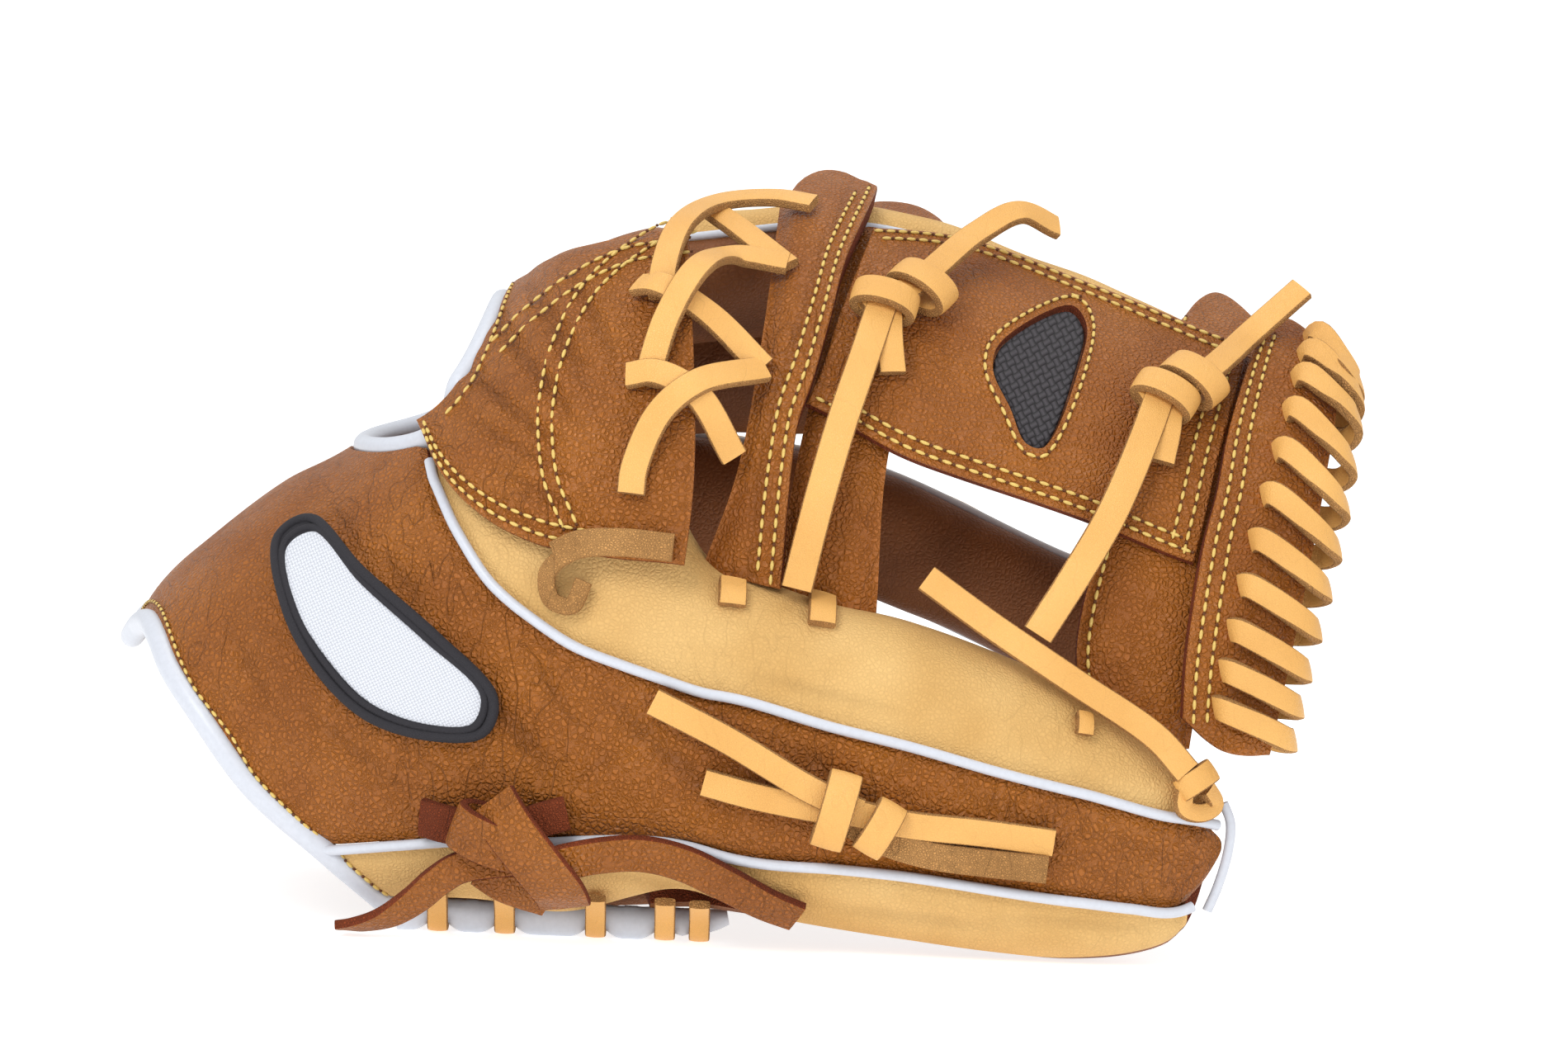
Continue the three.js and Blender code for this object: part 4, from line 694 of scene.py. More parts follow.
# Palm.
# Thick padded palm leather, smooth from use, with the palm side of the thumb stall in the same skin.
# It is open towards the back, where the laces of the heel draw it to the other leathers.
PALM = [(-106, 30, 40, 40, 10, -34), (-88, 60, 46, 45, 16, -32), (-60, 92, 49, 47, 24, -30),
        (-35, 122, 48, 48, 36, -24), (-13, 146, 41, 46, 46, -10)]


def palm_section(x):
    top, near, far, mid, low = (blend(column(PALM, 0), column(PALM, c), x) for c in (1, 2, 3, 4, 5))
    return 0 * x, near, far, top, mid, low


palm_shell = Shell(palm_section)
PALM_SKIN = leather("palm_leather", tint(140, 86, 46), tint(96, 54, 26), 900, 0.35, 0.55)
near_foot = [(x, 0, float(palm_shell.angle(x, z))) for x,
             z in ((-72, 7.8), (-50, 7.8), (-28, 8), (-12.5, 8))]
far_foot = [(x, 0, math.pi - float(palm_shell.angle(x, z))) for x,
            z in ((-76, -1), (-58, -1), (-44, 5), (-21, 42))]
hollow = Sheet(
    palm_shell, edge(palm_shell, near_foot), edge(palm_shell, far_foot),
    lambda t: (-75 - 27 * np.sin(math.pi * t), near_foot[0][2] + (far_foot[0][2] - near_foot[0][2]) * t),
    lambda t: (-21 + 8.5 * (1 - ease(t, 0.3, 0.45)),
               near_foot[3][2] + (far_foot[3][2] - near_foot[3][2]) * t),
    lift=5, thick=6, rolls=(0.6, 0.6, 0.6, 0.6))
lobe = Sheet(
    thumb_shell,
    edge(thumb_shell, [(-17, 0, 1.75), (10, 0, 2.03), (40, 0, 2.22), (80, 0, 2.22), (110, 0, 2.05)]),
    edge(thumb_shell, [(-17, 0, 5), (15, 0, 4.82), (60, 0, 4.79), (105, 0, 4.9)]),
    straight((-17, 1.75), (-17, 5.0)),
    lambda t: (110 - 5 * t + 4 * np.sin(math.pi * t), 2.05 + 2.85 * t),
    thick=4, rolls=(0.8, 0.8, 0.4, 0.8))
palm_parts = []
for sheet, step in ((hollow, 1.9), (lobe, 1.8)):
    points, faces, tone, rim, fold = sheet.part(step)
    points[:, 2] = np.maximum(points[:, 2], 0.0)
    palm_parts.append((points, faces, tone, rim, fold))
palm = build("palm", palm_parts, [PALM_SKIN, PALM_SKIN, RUST])
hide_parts("palm")

# Finger stalls.
# Each stall has tan leather on its back and brown leather on its palm side, with white piping between.
# It is a hollow tube that is thicker on the palm side and closed at its tip.
FINGERS = [
    ("index_stall", 48, 124, [(13, 149), (14, 154), (10, 141), (4, 124)]),
    ("middle_stall", 28, 131, [(43, 127), (44, 127), (40, 111), (30, 93)]),
    ("ring_stall", 9, 127, [(58, 94), (59, 88), (54, 69), (42, 52)]),
    ("pinky_stall", 3, 112, [(61, 56), (61, 46), (56, 19.6), (46, 12)])]
FINGER_BASE, FINGER_TALL, FINGER_DEEP = -20, 34.5, 27
WHITE = plain("white_binding", tint(205, 209, 218), 0.36, 0.12, 900.0, fade=0.86)


def finger_ring(finger, x, a, shrink_back=0.0, shrink_palm=0.0, t=None):
    """A place on the tube of a finger, at x along it and angle a round it."""
    name, lean, tip, centres = finger
    xs = np.linspace(FINGER_BASE, tip, 4)
    s = np.clip((x - FINGER_BASE) / (tip - FINGER_BASE), 0, 1)
    t = s if t is None else t
    y, z = (blend(xs, column(centres, c), x) for c in (0, 1))
    tip_round = np.sqrt(np.maximum(0, 1 - np.maximum(0, (t - 0.76) / 0.25) ** 2.2))
    tall = (FINGER_TALL / 2 - shrink_back) * (1 - 0.1 * s) * tip_round
    deep = np.where(np.cos(a) > 0, FINGER_DEEP / 2 - shrink_back, FINGER_DEEP / 2 - shrink_palm)
    h = tall * power(np.sin(a))
    d = deep * (1 - 0.08 * s) * tip_round * power(np.cos(a))
    lean = math.radians(lean)
    return np.stack([x + 0 * a, y + d * math.cos(lean) - h * math.sin(lean),
                     z + d * math.sin(lean) + h * math.cos(lean)], -1)


def tube(rings, tones):
    """Rings of points joined to a tube, with its ends closed by their own points."""
    nu, nv = rings.shape[:2]
    k = np.arange(nu * nv).reshape(nu, nv)
    a, b = k[:-1], k[1:]
    faces = np.stack([a, np.roll(a, -1, 1), np.roll(b, -1, 1), b], -1).reshape(-1, 4)
    points = rings.reshape(-1, 3)
    zero = np.zeros(len(points))
    return points, faces, tones, zero + 9, zero


def swept(route, facing, section, closed=False):
    """A section of (aside, out) places swept along a route."""
    before = np.roll(route, 1, 0) if closed else np.concatenate([route[:1], route[:-1]])
    after = np.roll(route, -1, 0) if closed else np.concatenate([route[1:], route[-1:]])
    tangent = after - before
    tangent /= np.linalg.norm(tangent, axis=1, keepdims=True)
    out = facing - (facing * tangent).sum(1, keepdims=True) * tangent
    out /= np.linalg.norm(out, axis=1, keepdims=True)
    aside = np.cross(tangent, out)
    rings = route[:, None] + aside[:, None] * section[None, :, :1] + out[:, None] * section[None, :, 1:]
    if closed:
        rings = np.concatenate([rings, rings[:1]])
    else:
        cap = rings.mean(1, keepdims=True)
        rings = np.concatenate([cap[:1] + 0 * rings[:1], rings, cap[-1:] + 0 * rings[-1:]])
    return rings


def circle(radius, sides=14):
    a = 2 * math.pi * (np.arange(sides) + 0.5) / sides
    return np.stack([radius * np.cos(a), radius * np.sin(a)], 1)


def cord_part(route, facing, radius, tone=0, closed=False, sides=14):
    rings = swept(np.asarray(route), np.asarray(facing), circle(radius, sides), closed)
    return tube(rings, np.full((len(rings) - 1) * rings.shape[1], tone))


for finger in FINGERS:
    name, lean, tip, centres = finger
    length = tip - FINGER_BASE
    t = np.concatenate([np.linspace(0, 0.9, 90), 0.9 + 0.1 * np.sin(np.linspace(0, math.pi / 2, 14)[1:])])
    a = 2 * math.pi * (np.arange(56) + 0.5) / 56
    tt, aa = np.meshgrid(t, a, indexing="ij")
    skin = finger_ring(finger, FINGER_BASE + length * tt, aa, t=tt * 0.999)
    wave = 0.35 * np.sin(FINGER_BASE + length * tt * 0.21 + lean) * np.cos(3 * aa)
    seam = np.minimum(np.abs(aa - math.pi / 2), np.abs(aa - 1.5 * math.pi)) * 15
    centre = skin.mean(1, keepdims=True)
    outward = skin - centre
    outward /= np.maximum(1e-6, np.linalg.norm(outward, axis=-1, keepdims=True))
    dent = (wave - 1.1 * np.exp(-((seam / 2.4) ** 2)) - 0.1) * (1 - ease(tt, 0.88, 0.97))
    skin = skin + outward * dent[..., None]
    core = finger_ring(finger, FINGER_BASE + (length - 6.5) * tt, aa, 2.4, 6.5, tt * 0.999)
    rings = np.concatenate([core[::-1], skin])
    palm_side = np.cos(a) < 0
    tones = np.concatenate([np.full((len(t), len(a)), 2),
                            np.tile(np.where(palm_side, 1, 0), (len(t) - 1, 1))])
    stall = tube(rings, tones.ravel())
    stall[0][:, 2] = np.maximum(stall[0][:, 2], 0.0)
    pipes = []
    for around in (math.pi / 2, 1.5 * math.pi):
        s = np.linspace(0.0, 0.93, 110)
        route = finger_ring(finger, FINGER_BASE + length * s, np.full_like(s, around), 0.75, 0.75, s)
        facing = route - finger_ring(finger, FINGER_BASE + length * s, np.full_like(s, around), 8, 8, s)
        route[:, 2] = np.maximum(route[:, 2], 1.1)
        pipes.append(cord_part(route, facing, 1.05, 3, sides=10))
    piece = build(name, [stall] + pipes, [TAN, PALM_SKIN, INSIDE, WHITE])
    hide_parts(name)

# White pipings.
# Round white welts are sewn into the seams above and below the brown panel and round the tip.
# Each is a cord wrapped in thin synthetic leather.


def along(surface, places, lift, step=1.0):
    """Places and facings along a line of a shell."""
    line = edge(surface, places)
    count = int((places[-1][0] - places[0][0]) / step) * 2
    x, angle = line(np.linspace(0, 1, count))
    normal = normal_at(surface, x, angle)
    return surface.point(x, angle) + normal * lift, normal


for name, places in (("welt_upper", [(-72.2, 108.5)] + UPPER_SEAM[1:]),
                     ("welt_lower", [(-92.3, 18.6)] + LOWER_SEAM[1:])):
    piece = build(name, [cord_part(*along(thumb_shell, places, 0.1), 1.25)], [WHITE])
    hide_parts(name)


def curve(knots, count, closed=False):
    """Centripetal curve through the knots."""
    p = np.asarray(knots, float)
    n = len(p)
    if closed:
        ext = np.concatenate([p[-1:], p, p[:2]])
    else:
        ext = np.concatenate([2 * p[:1] - p[1:2], p, 2 * p[-1:] - p[-2:-1]])
    spans = n if closed else n - 1
    at = np.linspace(0, spans, count, endpoint=not closed)
    i = np.minimum(at.astype(int), spans - 1)
    w = (at - i)[:, None]
    p0, p1, p2, p3 = ext[i], ext[i + 1], ext[i + 2], ext[i + 3]
    d0, d1, d2 = (np.maximum(1e-4, np.linalg.norm(b - a, axis=1, keepdims=True)) ** 0.5
                  for a, b in ((p0, p1), (p1, p2), (p2, p3)))
    m1 = ((p1 - p0) / d0 - (p2 - p0) / (d0 + d1) + (p2 - p1) / d1) * d1
    m2 = ((p2 - p1) / d1 - (p3 - p1) / (d1 + d2) + (p3 - p2) / d2) * d1
    return ((2 * w**3 - 3 * w**2 + 1) * p1 + (w**3 - 2 * w**2 + w) * m1
            + (3 * w**2 - 2 * w**3) * p2 + (w**3 - w**2) * m2)


TIP_WELT = [(113.8, 38.5), (115.6, 34), (115.4, 27.5), (113.4, 19.2), (111.2, 13.4)]
route = curve([(x, -63, z) for x, z in TIP_WELT], 40)
welt_tip = build("welt_tip", [cord_part(route, np.tile([0.0, -1, 0], (40, 1)), 1.15)], [WHITE])
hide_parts("welt_tip")

# White bindings.
# Fat rolled bindings close the wrist edge, the rim of the open back and the scalloped heel.
# They are padded rolls of white synthetic leather, pinched where the heel's laces cross.
start = float(hand_shell.angle(-78, 5.5))
angles = np.linspace(start, math.pi - start, 17)
x = wrist_x(angles)
normal = normal_at(hand_shell, x, angles)
route = curve(hand_shell.point(x, angles) - normal * LEATHER / 2, 240)
facing = curve(normal, 240)
wrist_binding = build("wrist_binding", [cord_part(route, facing, 2.8, sides=20)], [WHITE])
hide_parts("wrist_binding")


def inside_hand(x, y, z):
    centre, wide, far, top, mid, low = hand_section(x)
    t = np.maximum(0, (z - mid) / (top - mid))
    return t ** (2 / ROUNDNESS) + np.abs(y / wide) ** (2 / ROUNDNESS) < 1


def rim_line(grow, turns):
    """Where an oval around the open back, grown a little, meets the back of the hand."""
    c, s = math.cos(OPENING["slope"]), math.sin(OPENING["slope"])
    y, run = (OPENING["wide"] + grow) * np.sin(turns), (OPENING["long"] + grow) * np.cos(turns)
    low, high = np.full_like(turns, -40), np.full_like(turns, 60)
    for _ in range(30):
        up = (low + high) / 2
        keep = inside_hand(OPENING["x"] + run * c - up * s, y, OPENING["z"] + run * s + up * c)
        low, high = np.where(keep, up, low), np.where(keep, high, up)
    return np.stack([OPENING["x"] + run * c - low * s, y, OPENING["z"] + run * s + low * c], 1)


turns = np.linspace(0, 2 * math.pi, 160, endpoint=False)
straight_up = np.array([-math.sin(OPENING["slope"]), 0, math.cos(OPENING["slope"])])
route = rim_line(0, turns)
over_crotch = ease(-route[:, 1], -10, 8) * ease(np.cos(turns), -0.1, 0.3)
route = route + straight_up * (5.2 * over_crotch - 0.6 * LEATHER)[:, None]
rim_binding = build("back_opening_binding",
                    [cord_part(route, np.tile(straight_up, (160, 1)), 2.6, closed=True, sides=18)], [WHITE])
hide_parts("back_opening_binding")

HEEL_LACES = [-66, -50.5, -29.5, -13.5, -5.5]
x = np.linspace(-75.5, 1.0, 220)
fat = ease(np.abs(x[:, None] - np.array(HEEL_LACES)).min(1), 2.0, 6.5)
tip = 1 - ease(x, -4.5, 1.5)
tall = (2.9 + 1.0 * fat) * (0.45 + 0.55 * tip)
route = np.stack([x, np.full_like(x, -55.2), 7.9 - tall], 1)
rings = swept(route, np.tile([0.0, -1, 0], (220, 1)), circle(1, 18))
k = np.clip(np.arange(len(rings)) - (len(rings) - len(x)) // 2, 0, len(x) - 1)
rings = route[k, None] + (rings - route[k, None]) * np.stack([tall, 0 * x + 2.5, tall], 1)[k, None]
heel_binding = build("heel_binding", [tube(rings, np.zeros((len(rings) - 1) * 18, int))], [WHITE])
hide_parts("heel_binding")

# Web.
# Two thick posts with strips behind them, and a panel with a woven window between them.
# All are brown leather with raw rust edges, sewn with gold thread and laced to thumb and finger.
WEB = [(-12, -62, 86, -2, 166), (20, -64, 80, 0, 169), (50, -65, 71, 1, 163), (80, -65, 61, 1, 155),
       (105, -64, 50, 0, 149), (125, -61, 46, -3, 145), (145, -56, 48, -8, 138)]
WEB_BELLY = 22


class WebShell:
    """The bowed sheet of the web: "angle" runs from 0 on the thumb to 1 at its upper edge."""

    def point(self, x, t):
        x, t = np.broadcast_arrays(np.asarray(x, float), np.asarray(t, float))
        low_y, low_z, top_y, top_z = (blend(column(WEB, 0), column(WEB, c), x) for c in (1, 2, 3, 4))
        bow = WEB_BELLY * 4 * t * (1 - t)
        return np.stack([x, low_y + (top_y - low_y) * t - 0.75 * bow,
                         low_z + (top_z - low_z) * t + 0.5 * bow], -1)

    def angle(self, x, z):
        x, z = np.broadcast_arrays(np.asarray(x, float), np.asarray(z, float))
        low, high = np.full(x.shape, -0.4), np.full(x.shape, 1.3)
        for _ in range(30):
            middle = (low + high) / 2
            below = self.point(x, middle)[..., 2] < z
            low, high = np.where(below, middle, low), np.where(below, high, middle)
        return (low + high) / 2


web_shell = WebShell()
WEB_SKIN = leather("web_leather", tint(162, 96, 32), tint(138, 76, 22), 800, 0.75, 0.38)


def web_piece(name, low, high, left, right, lift, thick, relief=None, rolls=(0, 0, 0, 0)):
    """A strip of the web, and the sheet that it is made from."""
    strip = Sheet(web_shell, edge(web_shell, low), edge(web_shell, high), rise(web_shell, left),
                  rise(web_shell, right), lift=lift, thick=thick, rolls=rolls, relief=relief)
    piece = build(name, [strip.part(1.3)], [WEB_SKIN, WEB_SKIN, RUST])
    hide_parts(name)
    return strip


BASE_CUT = [(10.2, 84), (12, 118.6), (15.6, 131), (18.8, 143.6), (21.9, 156), (28.6, 170.5)]
TIP_CUT = [(103, 58), (103.2, 71), (104.5, 84), (106.6, 97.3), (109.4, 108), (112, 120.5), (116.6, 133.7),
           (121.3, 143.2)]
base_post = web_piece("web_base_post", [(-8.3, 87), (1.5, 85.5), (10.2, 84)],
                      [(6.2, 168.3), (16.6, 173.5), (28.6, 170.5)],
                      [(-8.3, 87), (-1, 110), (3.5, 141), (6.2, 168.3)], BASE_CUT, 4.4, 6.8,
                      rolls=(0, 0, 3.2, 0), relief=lambda p,
                      gaps: -0.5 * np.exp(-(((gaps[3] - 7.5) / 1.4) ** 2)))
web_piece("web_base_strip", [(8, 80.5), (20, 79), (32, 78.5)], [(26, 173.5), (40, 172.6), (50.5, 167)],
          [(8, 80.5), (13, 116), (18, 141), (26, 173.5)], [(32, 78.5), (34, 116), (42, 145), (50.5, 167)],
          -3.2, 6, rolls=(0, 0, 1.6, 2.4))
tip_strip = web_piece("web_tip_strip", [(81, 55), (92, 52), (106, 50)],
                      [(104, 151), (113, 155), (124, 147)],
                      [(81, 55), (79, 74), (84, 98), (94, 125), (104, 151)],
                      [(106, 50), (109, 75), (114, 110), (124, 147)],
                      -3.2, 6, rolls=(0, 0, 2.4, 1.6))
tip_post = web_piece("web_tip_post", [(103, 58), (112, 51), (123.5, 50)],
                     [(121.3, 143.2), (128, 144.2), (138.4, 136)],
                     TIP_CUT, [(123.5, 50), (127.4, 72), (131.2, 92), (135, 112), (138, 128),
                               (138.4, 136)], 3.7, 5,
                     rolls=(0, 0, 0, 1.6))

WINDOW = [(75.8, 149), (79.3, 144.8), (77.7, 136.6), (69.4, 117.9), (65.1, 118.7), (61.3, 126.3),
          (57.1, 134.8),
          (58.7, 140.6)]
cross = Sheet(web_shell, edge(web_shell, [(14.2, 126.2), (34, 116.6), (49.5, 111.2), (77.4, 103),
                                          (104.9, 93.3)]),
              edge(web_shell, [(28.4, 165.2), (50, 163.4), (80, 154.2), (118.3, 141.5)]),
              rise(web_shell, [(14.2, 126.2), (17.8, 135), (21, 146), (28.4, 165.2)]),
              rise(web_shell, [(104.9, 93.3), (107.2, 103), (110.2, 116), (114, 129), (118.3, 141.5)]),
              thick=2.8)


def grown(outline, by):
    p = np.array(outline, float)
    d = p - p.mean(0)
    return p + by * d / np.linalg.norm(d, axis=1, keepdims=True)


def plate(surface, outline, lift, thick, rings=14, count=120, tones=(0, 0, 0), dome=0.0):
    """A plate of even thickness with a given outline, laid on a shell."""
    around = curve([(x, 0, z) for x, z in outline], count, closed=True)[:, [0, 2]]
    middle = around.mean(0)
    r = np.concatenate([[0.0], np.linspace(1 / rings, 1, rings) ** 0.8])
    flat = middle + (around - middle)[None] * r[:, None, None]
    angle = surface.angle(flat[..., 0], flat[..., 1])
    base, normal = surface.point(flat[..., 0], angle), normal_at(surface, flat[..., 0], angle)
    near = np.clip((r - 0.93) / 0.07, 0, 1)[:, None, None]
    front = base + normal * (lift + dome * (1 - r[:, None, None] ** 2) - 0.5 * near**2)
    back = base + normal * (lift - thick)
    rings_all = np.concatenate([front, back[::-1]])
    points, faces, _, rim, fold = tube(rings_all, None)
    faces = faces[:, ::-1]
    tone = np.repeat([tones[0]] * (len(r) - 1) + [tones[1]] + [tones[2]] * (len(r) - 1), count)
    rim = np.tile((1 - np.concatenate([r, r[::-1]]))[:, None] * 20, (1, count)).ravel()
    return points, faces, tone, rim, fold


def weave(name, light, dark, per_metre, strength):
    """Basket weave: two sets of cords that pass over and under each other, coloured with painted shade where
    they dip.
    """
    material = bpy.data.materials.new(name)
    material.use_nodes = True
    tree = material.node_tree
    shader = tree.nodes["Principled BSDF"]
    where = add(tree, "ShaderNodeTexCoord")
    turn = add(tree, "ShaderNodeMapping", {"Vector": where.outputs["Object"], "Rotation": (0.0, 0.5, 0.0),
                                           "Scale": (per_metre, 0.0, per_metre)})
    check = add(tree, "ShaderNodeTexChecker", {"Vector": turn.outputs[0], "Scale": 1.0})
    split = add(tree, "ShaderNodeSeparateXYZ", {0: turn.outputs[0]})
    waves = []
    for axis in ("X", "Z"):
        beat = add(tree, "ShaderNodeMath", {0: split.outputs[axis], 1: math.pi}, operation="MULTIPLY")
        wave = add(tree, "ShaderNodeMath", {0: beat.outputs[0]}, operation="SINE")
        waves.append(add(tree, "ShaderNodeMath", {0: wave.outputs[0]}, operation="ABSOLUTE"))
    height = add(tree, "ShaderNodeMix", {"Factor": check.outputs["Fac"], "A": waves[0].outputs[0],
                                         "B": waves[1].outputs[0]}, data_type="FLOAT")
    # Painted shade: the colour runs from the light tint on the cords' crowns to the dark tint where they dip.
    tone = add(tree, "ShaderNodeMix", {"Factor": height.outputs["Result"], "A": dark, "B": light},
               data_type="RGBA")
    tree.links.new(tone.outputs["Result"], shader.inputs["Base Color"])
    relief = add(tree, "ShaderNodeBump", {"Height": height.outputs["Result"], "Strength": strength,
                                          "Distance": 0.0006})
    tree.links.new(relief.outputs[0], shader.inputs["Normal"])
    shader.inputs["Roughness"].default_value = 0.8
    return material


def cut_window(piece, outline):
    """Cuts a window with a given outline through a piece of the web, with raw suede on the cut."""
    around = curve([(x, 0, z) for x, z in outline[::-1]], 64, closed=True)
    angle = web_shell.angle(around[:, 0], around[:, 2])
    base, normal = web_shell.point(around[:, 0], angle), normal_at(web_shell, around[:, 0], angle)
    middle = normal.mean(0) / np.linalg.norm(normal.mean(0))
    n = len(base)
    points = np.concatenate([base - middle * 9, base + middle * 7])
    faces = [[i, (i + 1) % n, n + (i + 1) % n, n + i] for i in range(n)]
    faces += [list(range(n))[::-1], list(range(n, 2 * n))]
    mesh = bpy.data.meshes.new("window")
    mesh.from_pydata([tuple((p + SHIFT) / 1000) for p in points], [], faces)
    mesh.polygons.foreach_set("material_index", np.full(len(faces), 2, np.int32))
    for material in (WEB_SKIN, WEB_SKIN, RUST):
        mesh.materials.append(material)
    tool = bpy.data.objects.new("window", mesh)
    bpy.context.scene.collection.objects.link(tool)
    cutter = piece.modifiers.new("window", "BOOLEAN")
    cutter.object, cutter.operation, cutter.solver = tool, "DIFFERENCE", "EXACT"
    bpy.context.view_layer.update()
    done = bpy.data.meshes.new_from_object(piece.evaluated_get(bpy.context.evaluated_depsgraph_get()))
    piece.modifiers.clear()
    piece.data = done
    bpy.data.objects.remove(tool)


cross_panel = build("web_cross_panel", [cross.part(1.3)], [WEB_SKIN, WEB_SKIN, RUST])
cut_window(cross_panel, WINDOW)
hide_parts("web_cross_panel")
# The dark tint of this weave is painted shade where its cords dip.
MESH = weave("black_basket_weave", tint(62, 58, 62), tint(12, 10, 12), 620.0, 0.9)
web_patch = build("web_patch", [plate(web_shell, grown(WINDOW, -0.6), -0.8, 1.6)], [MESH])
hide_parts("web_patch")

# Badge on the wrist strap.
# A woven badge with a thick merrowed border, sewn on the strap.
# Its field is plain white weave.
# The darker tint of this weave is painted shade where its cords dip.
FIELD = weave("white_weave", tint(220, 223, 230), tint(184, 188, 198), 1400.0, 0.5)
BORDER = plain("badge_border", tint(40, 38, 44), 0.85, 0.8, 3000.0)
BADGE = [(-107, 88), (-99, 93), (-86, 84), (-66, 70), (-53, 57), (-55, 49), (-66, 47), (-82, 50),
         (-95, 60), (-104, 74)]
badge_parts = [plate(thumb_shell, BADGE, 2.3, 1.4, tones=(1, 1, 1)),
               plate(thumb_shell, grown(BADGE, -4.2), 2.8, 0.8)]
for inset, radius in ((1.1, 1.25), (3.2, 0.95)):
    line = curve([(x, 0, z) for x, z in grown(BADGE, -inset)], 200, closed=True)
    angle = thumb_shell.angle(line[:, 0], line[:, 2])
    normal = normal_at(thumb_shell, line[:, 0], angle)
    border = thumb_shell.point(line[:, 0], angle) + normal * 2.1
    badge_parts.append(cord_part(border, normal, radius, 1, closed=True, sides=12))
badge = build("wrist_patch", badge_parts, [FIELD, BORDER])
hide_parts("wrist_patch")

# Rawhide lacing.
# Flat rawhide thongs, pale and satin on their faces and suede on their cut edges.
# They are stiff, pulled through punched slots and knotted, and keep the form they are given.
LACE_WIDTH, LACE_THICK = 6.4, 2.2
OVER = LACE_THICK / 2 + 0.35
LACE = leather("rawhide_lace", tint(230, 176, 100), tint(212, 156, 82), 1900, 0.3, 0.4, mottle=0.6, rub=0.0)
LACE_EDGE = leather("rawhide_edge", tint(200, 148, 88), tint(160, 112, 62), 1700, 0.8, 0.9, rub=0.0)


def thong(route, facing, width=LACE_WIDTH, thick=LACE_THICK, closed=False, tones=(0, 1)):
    """A flat strip with rounded corners, a little crowned, along a route."""
    w, h, r = width / 2, thick / 2, min(0.55, thick * 0.3)
    corner = [(math.cos(a), math.sin(a)) for a in np.linspace(0, math.pi / 2, 4)]
    quarter = [(w - r + r * c, h - r + r * s) for c, s in corner]
    top = quarter + [(w * 0.45, h + 0.1), (0, h + 0.14), (-w * 0.45, h + 0.1)] + [(-a, b) for a,
                                                                                  b in quarter[::-1]]
    section = np.array(top + [(-a, -b) for a, b in top])[::-1]
    rings = swept(route, facing, section, closed)
    side = np.abs(section[:, 0]) > w - 0.4
    face_tone = np.where(side & np.roll(side, -1), tones[1], tones[0])
    tone = np.tile(face_tone, (len(rings) - 1, 1))
    if not closed:
        tone[[0, -1]] = tones[1]
    return tube(rings, tone.ravel())


def lay(surface, rows, density=1.4, closed=False):
    """A route over a shell at (x, z, lift), or through free places (x, y, z, None) in the air."""
    knots, faces = [], []
    for row in rows:
        if len(row) == 4:
            knots.append(np.array(row[:3], float))
            faces.append(np.array([0, -0.7, 0.7]))
            continue
        x, z, lift = row
        angle = float(surface.angle(x, z))
        normal = normal_at(surface, np.array(float(x)), angle)
        knots.append(surface.point(x, angle) + normal * lift)
        faces.append(normal)
    size = np.linalg.norm(np.diff(knots, axis=0), axis=1).sum()
    count = max(8, int(size * density))
    return curve(knots, count, closed), curve(faces, count, closed)


def lace(surface, rows, width=LACE_WIDTH, thick=LACE_THICK, tones=(0, 1)):
    return thong(*lay(surface, rows), width, thick, tones=tones)


class Bridge:
    """The crotch panel up to its edge, the web beyond it."""

    def point(self, x, angle):
        return (hand_shell if np.all(x < -9.5) else web_shell).point(x, angle)

    def angle(self, x, z):
        return (hand_shell if np.all(x < -9.5) else web_shell).angle(x, z)


def lace_piece(name, parts, node=None, materials=None):
    piece = build(name, parts, materials or [LACE, LACE_EDGE])
    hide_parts(node or name)
    return piece


STRANDS = [
    [(14, 164, 7), (5.4, 164.8, 7), (-6.8, 162.6, 8), (-15.5, 157.8, 8), (-18.7, 148.6, 8.2),
     (-19, 144, 7.4)],
    [(-9, 161.5, 6.8), (-2, 158, 6.4), (8.5, 151.5, 6.2)],
    [(8.5, 152, 6.4), (-3.2, 152.6, 7), (-11.2, 148.6, 10.2), (-17.5, 139, 9.2), (-22, 126.5, 6.2)],
    [(-24.5, 146.5, 6.4), (-19, 145, 9.8), (-8.8, 138.6, 10.4), (3.7, 130.7, 6.2)],
    [(-26.2, 127.9, 6.6), (-19.7, 128.4, 8), (-10.8, 124.4, 8.2), (-1.9, 112.3, 6.2)],
    [(3.9, 130.4, 6.4), (-10.9, 126.2, 9.4), (-18.5, 119.8, 9), (-23.7, 109, 7), (-24.4, 103.4, 6.6)]]
lace_piece("crotch_lacing", [lace(Bridge(), rows) for rows in STRANDS])

FOOT_LACES = [(-1.3, 84.6, 79.8, 6.4), (19.3, 81, 76, 6.4), (80, 57.6, 53.6, 4.2)]
for i, (x, top, low, width) in enumerate(FOOT_LACES):
    rows = [(x, top, OVER), (x + 0.1, (top + low) / 2, OVER + 0.5), (x + 0.2, low, OVER)]
    lace_piece(f"web_foot_lace_{i + 1}", [lace(thumb_shell, rows, width)])

TURNS = 11
TURN_HOLE = [(131, 140), (128.6, 133.5), (125, 122), (120.5, 107), (116.2, 91), (112.8, 75), (110.6, 61)]
TURN_EDGE = [(142.5, 131), (142, 126), (139.5, 112), (136.5, 97), (133, 82), (129.7, 67), (127.5, 54)]


def along_places(places, t):
    ts = np.linspace(0, 1, len(places))
    return float(blend(ts, column(places, 0), t)), float(blend(ts, column(places, 1), t))


knots, faces = [], []


def turn_place(x, z, lift, turned):
    angle = float(web_shell.angle(x, z))
    normal = normal_at(web_shell, np.array(float(x)), angle)
    knots.append(web_shell.point(x, angle) + normal * lift)
    faces.append(normal * math.cos(turned) + np.array([1, 0, 0.25]) * math.sin(turned))


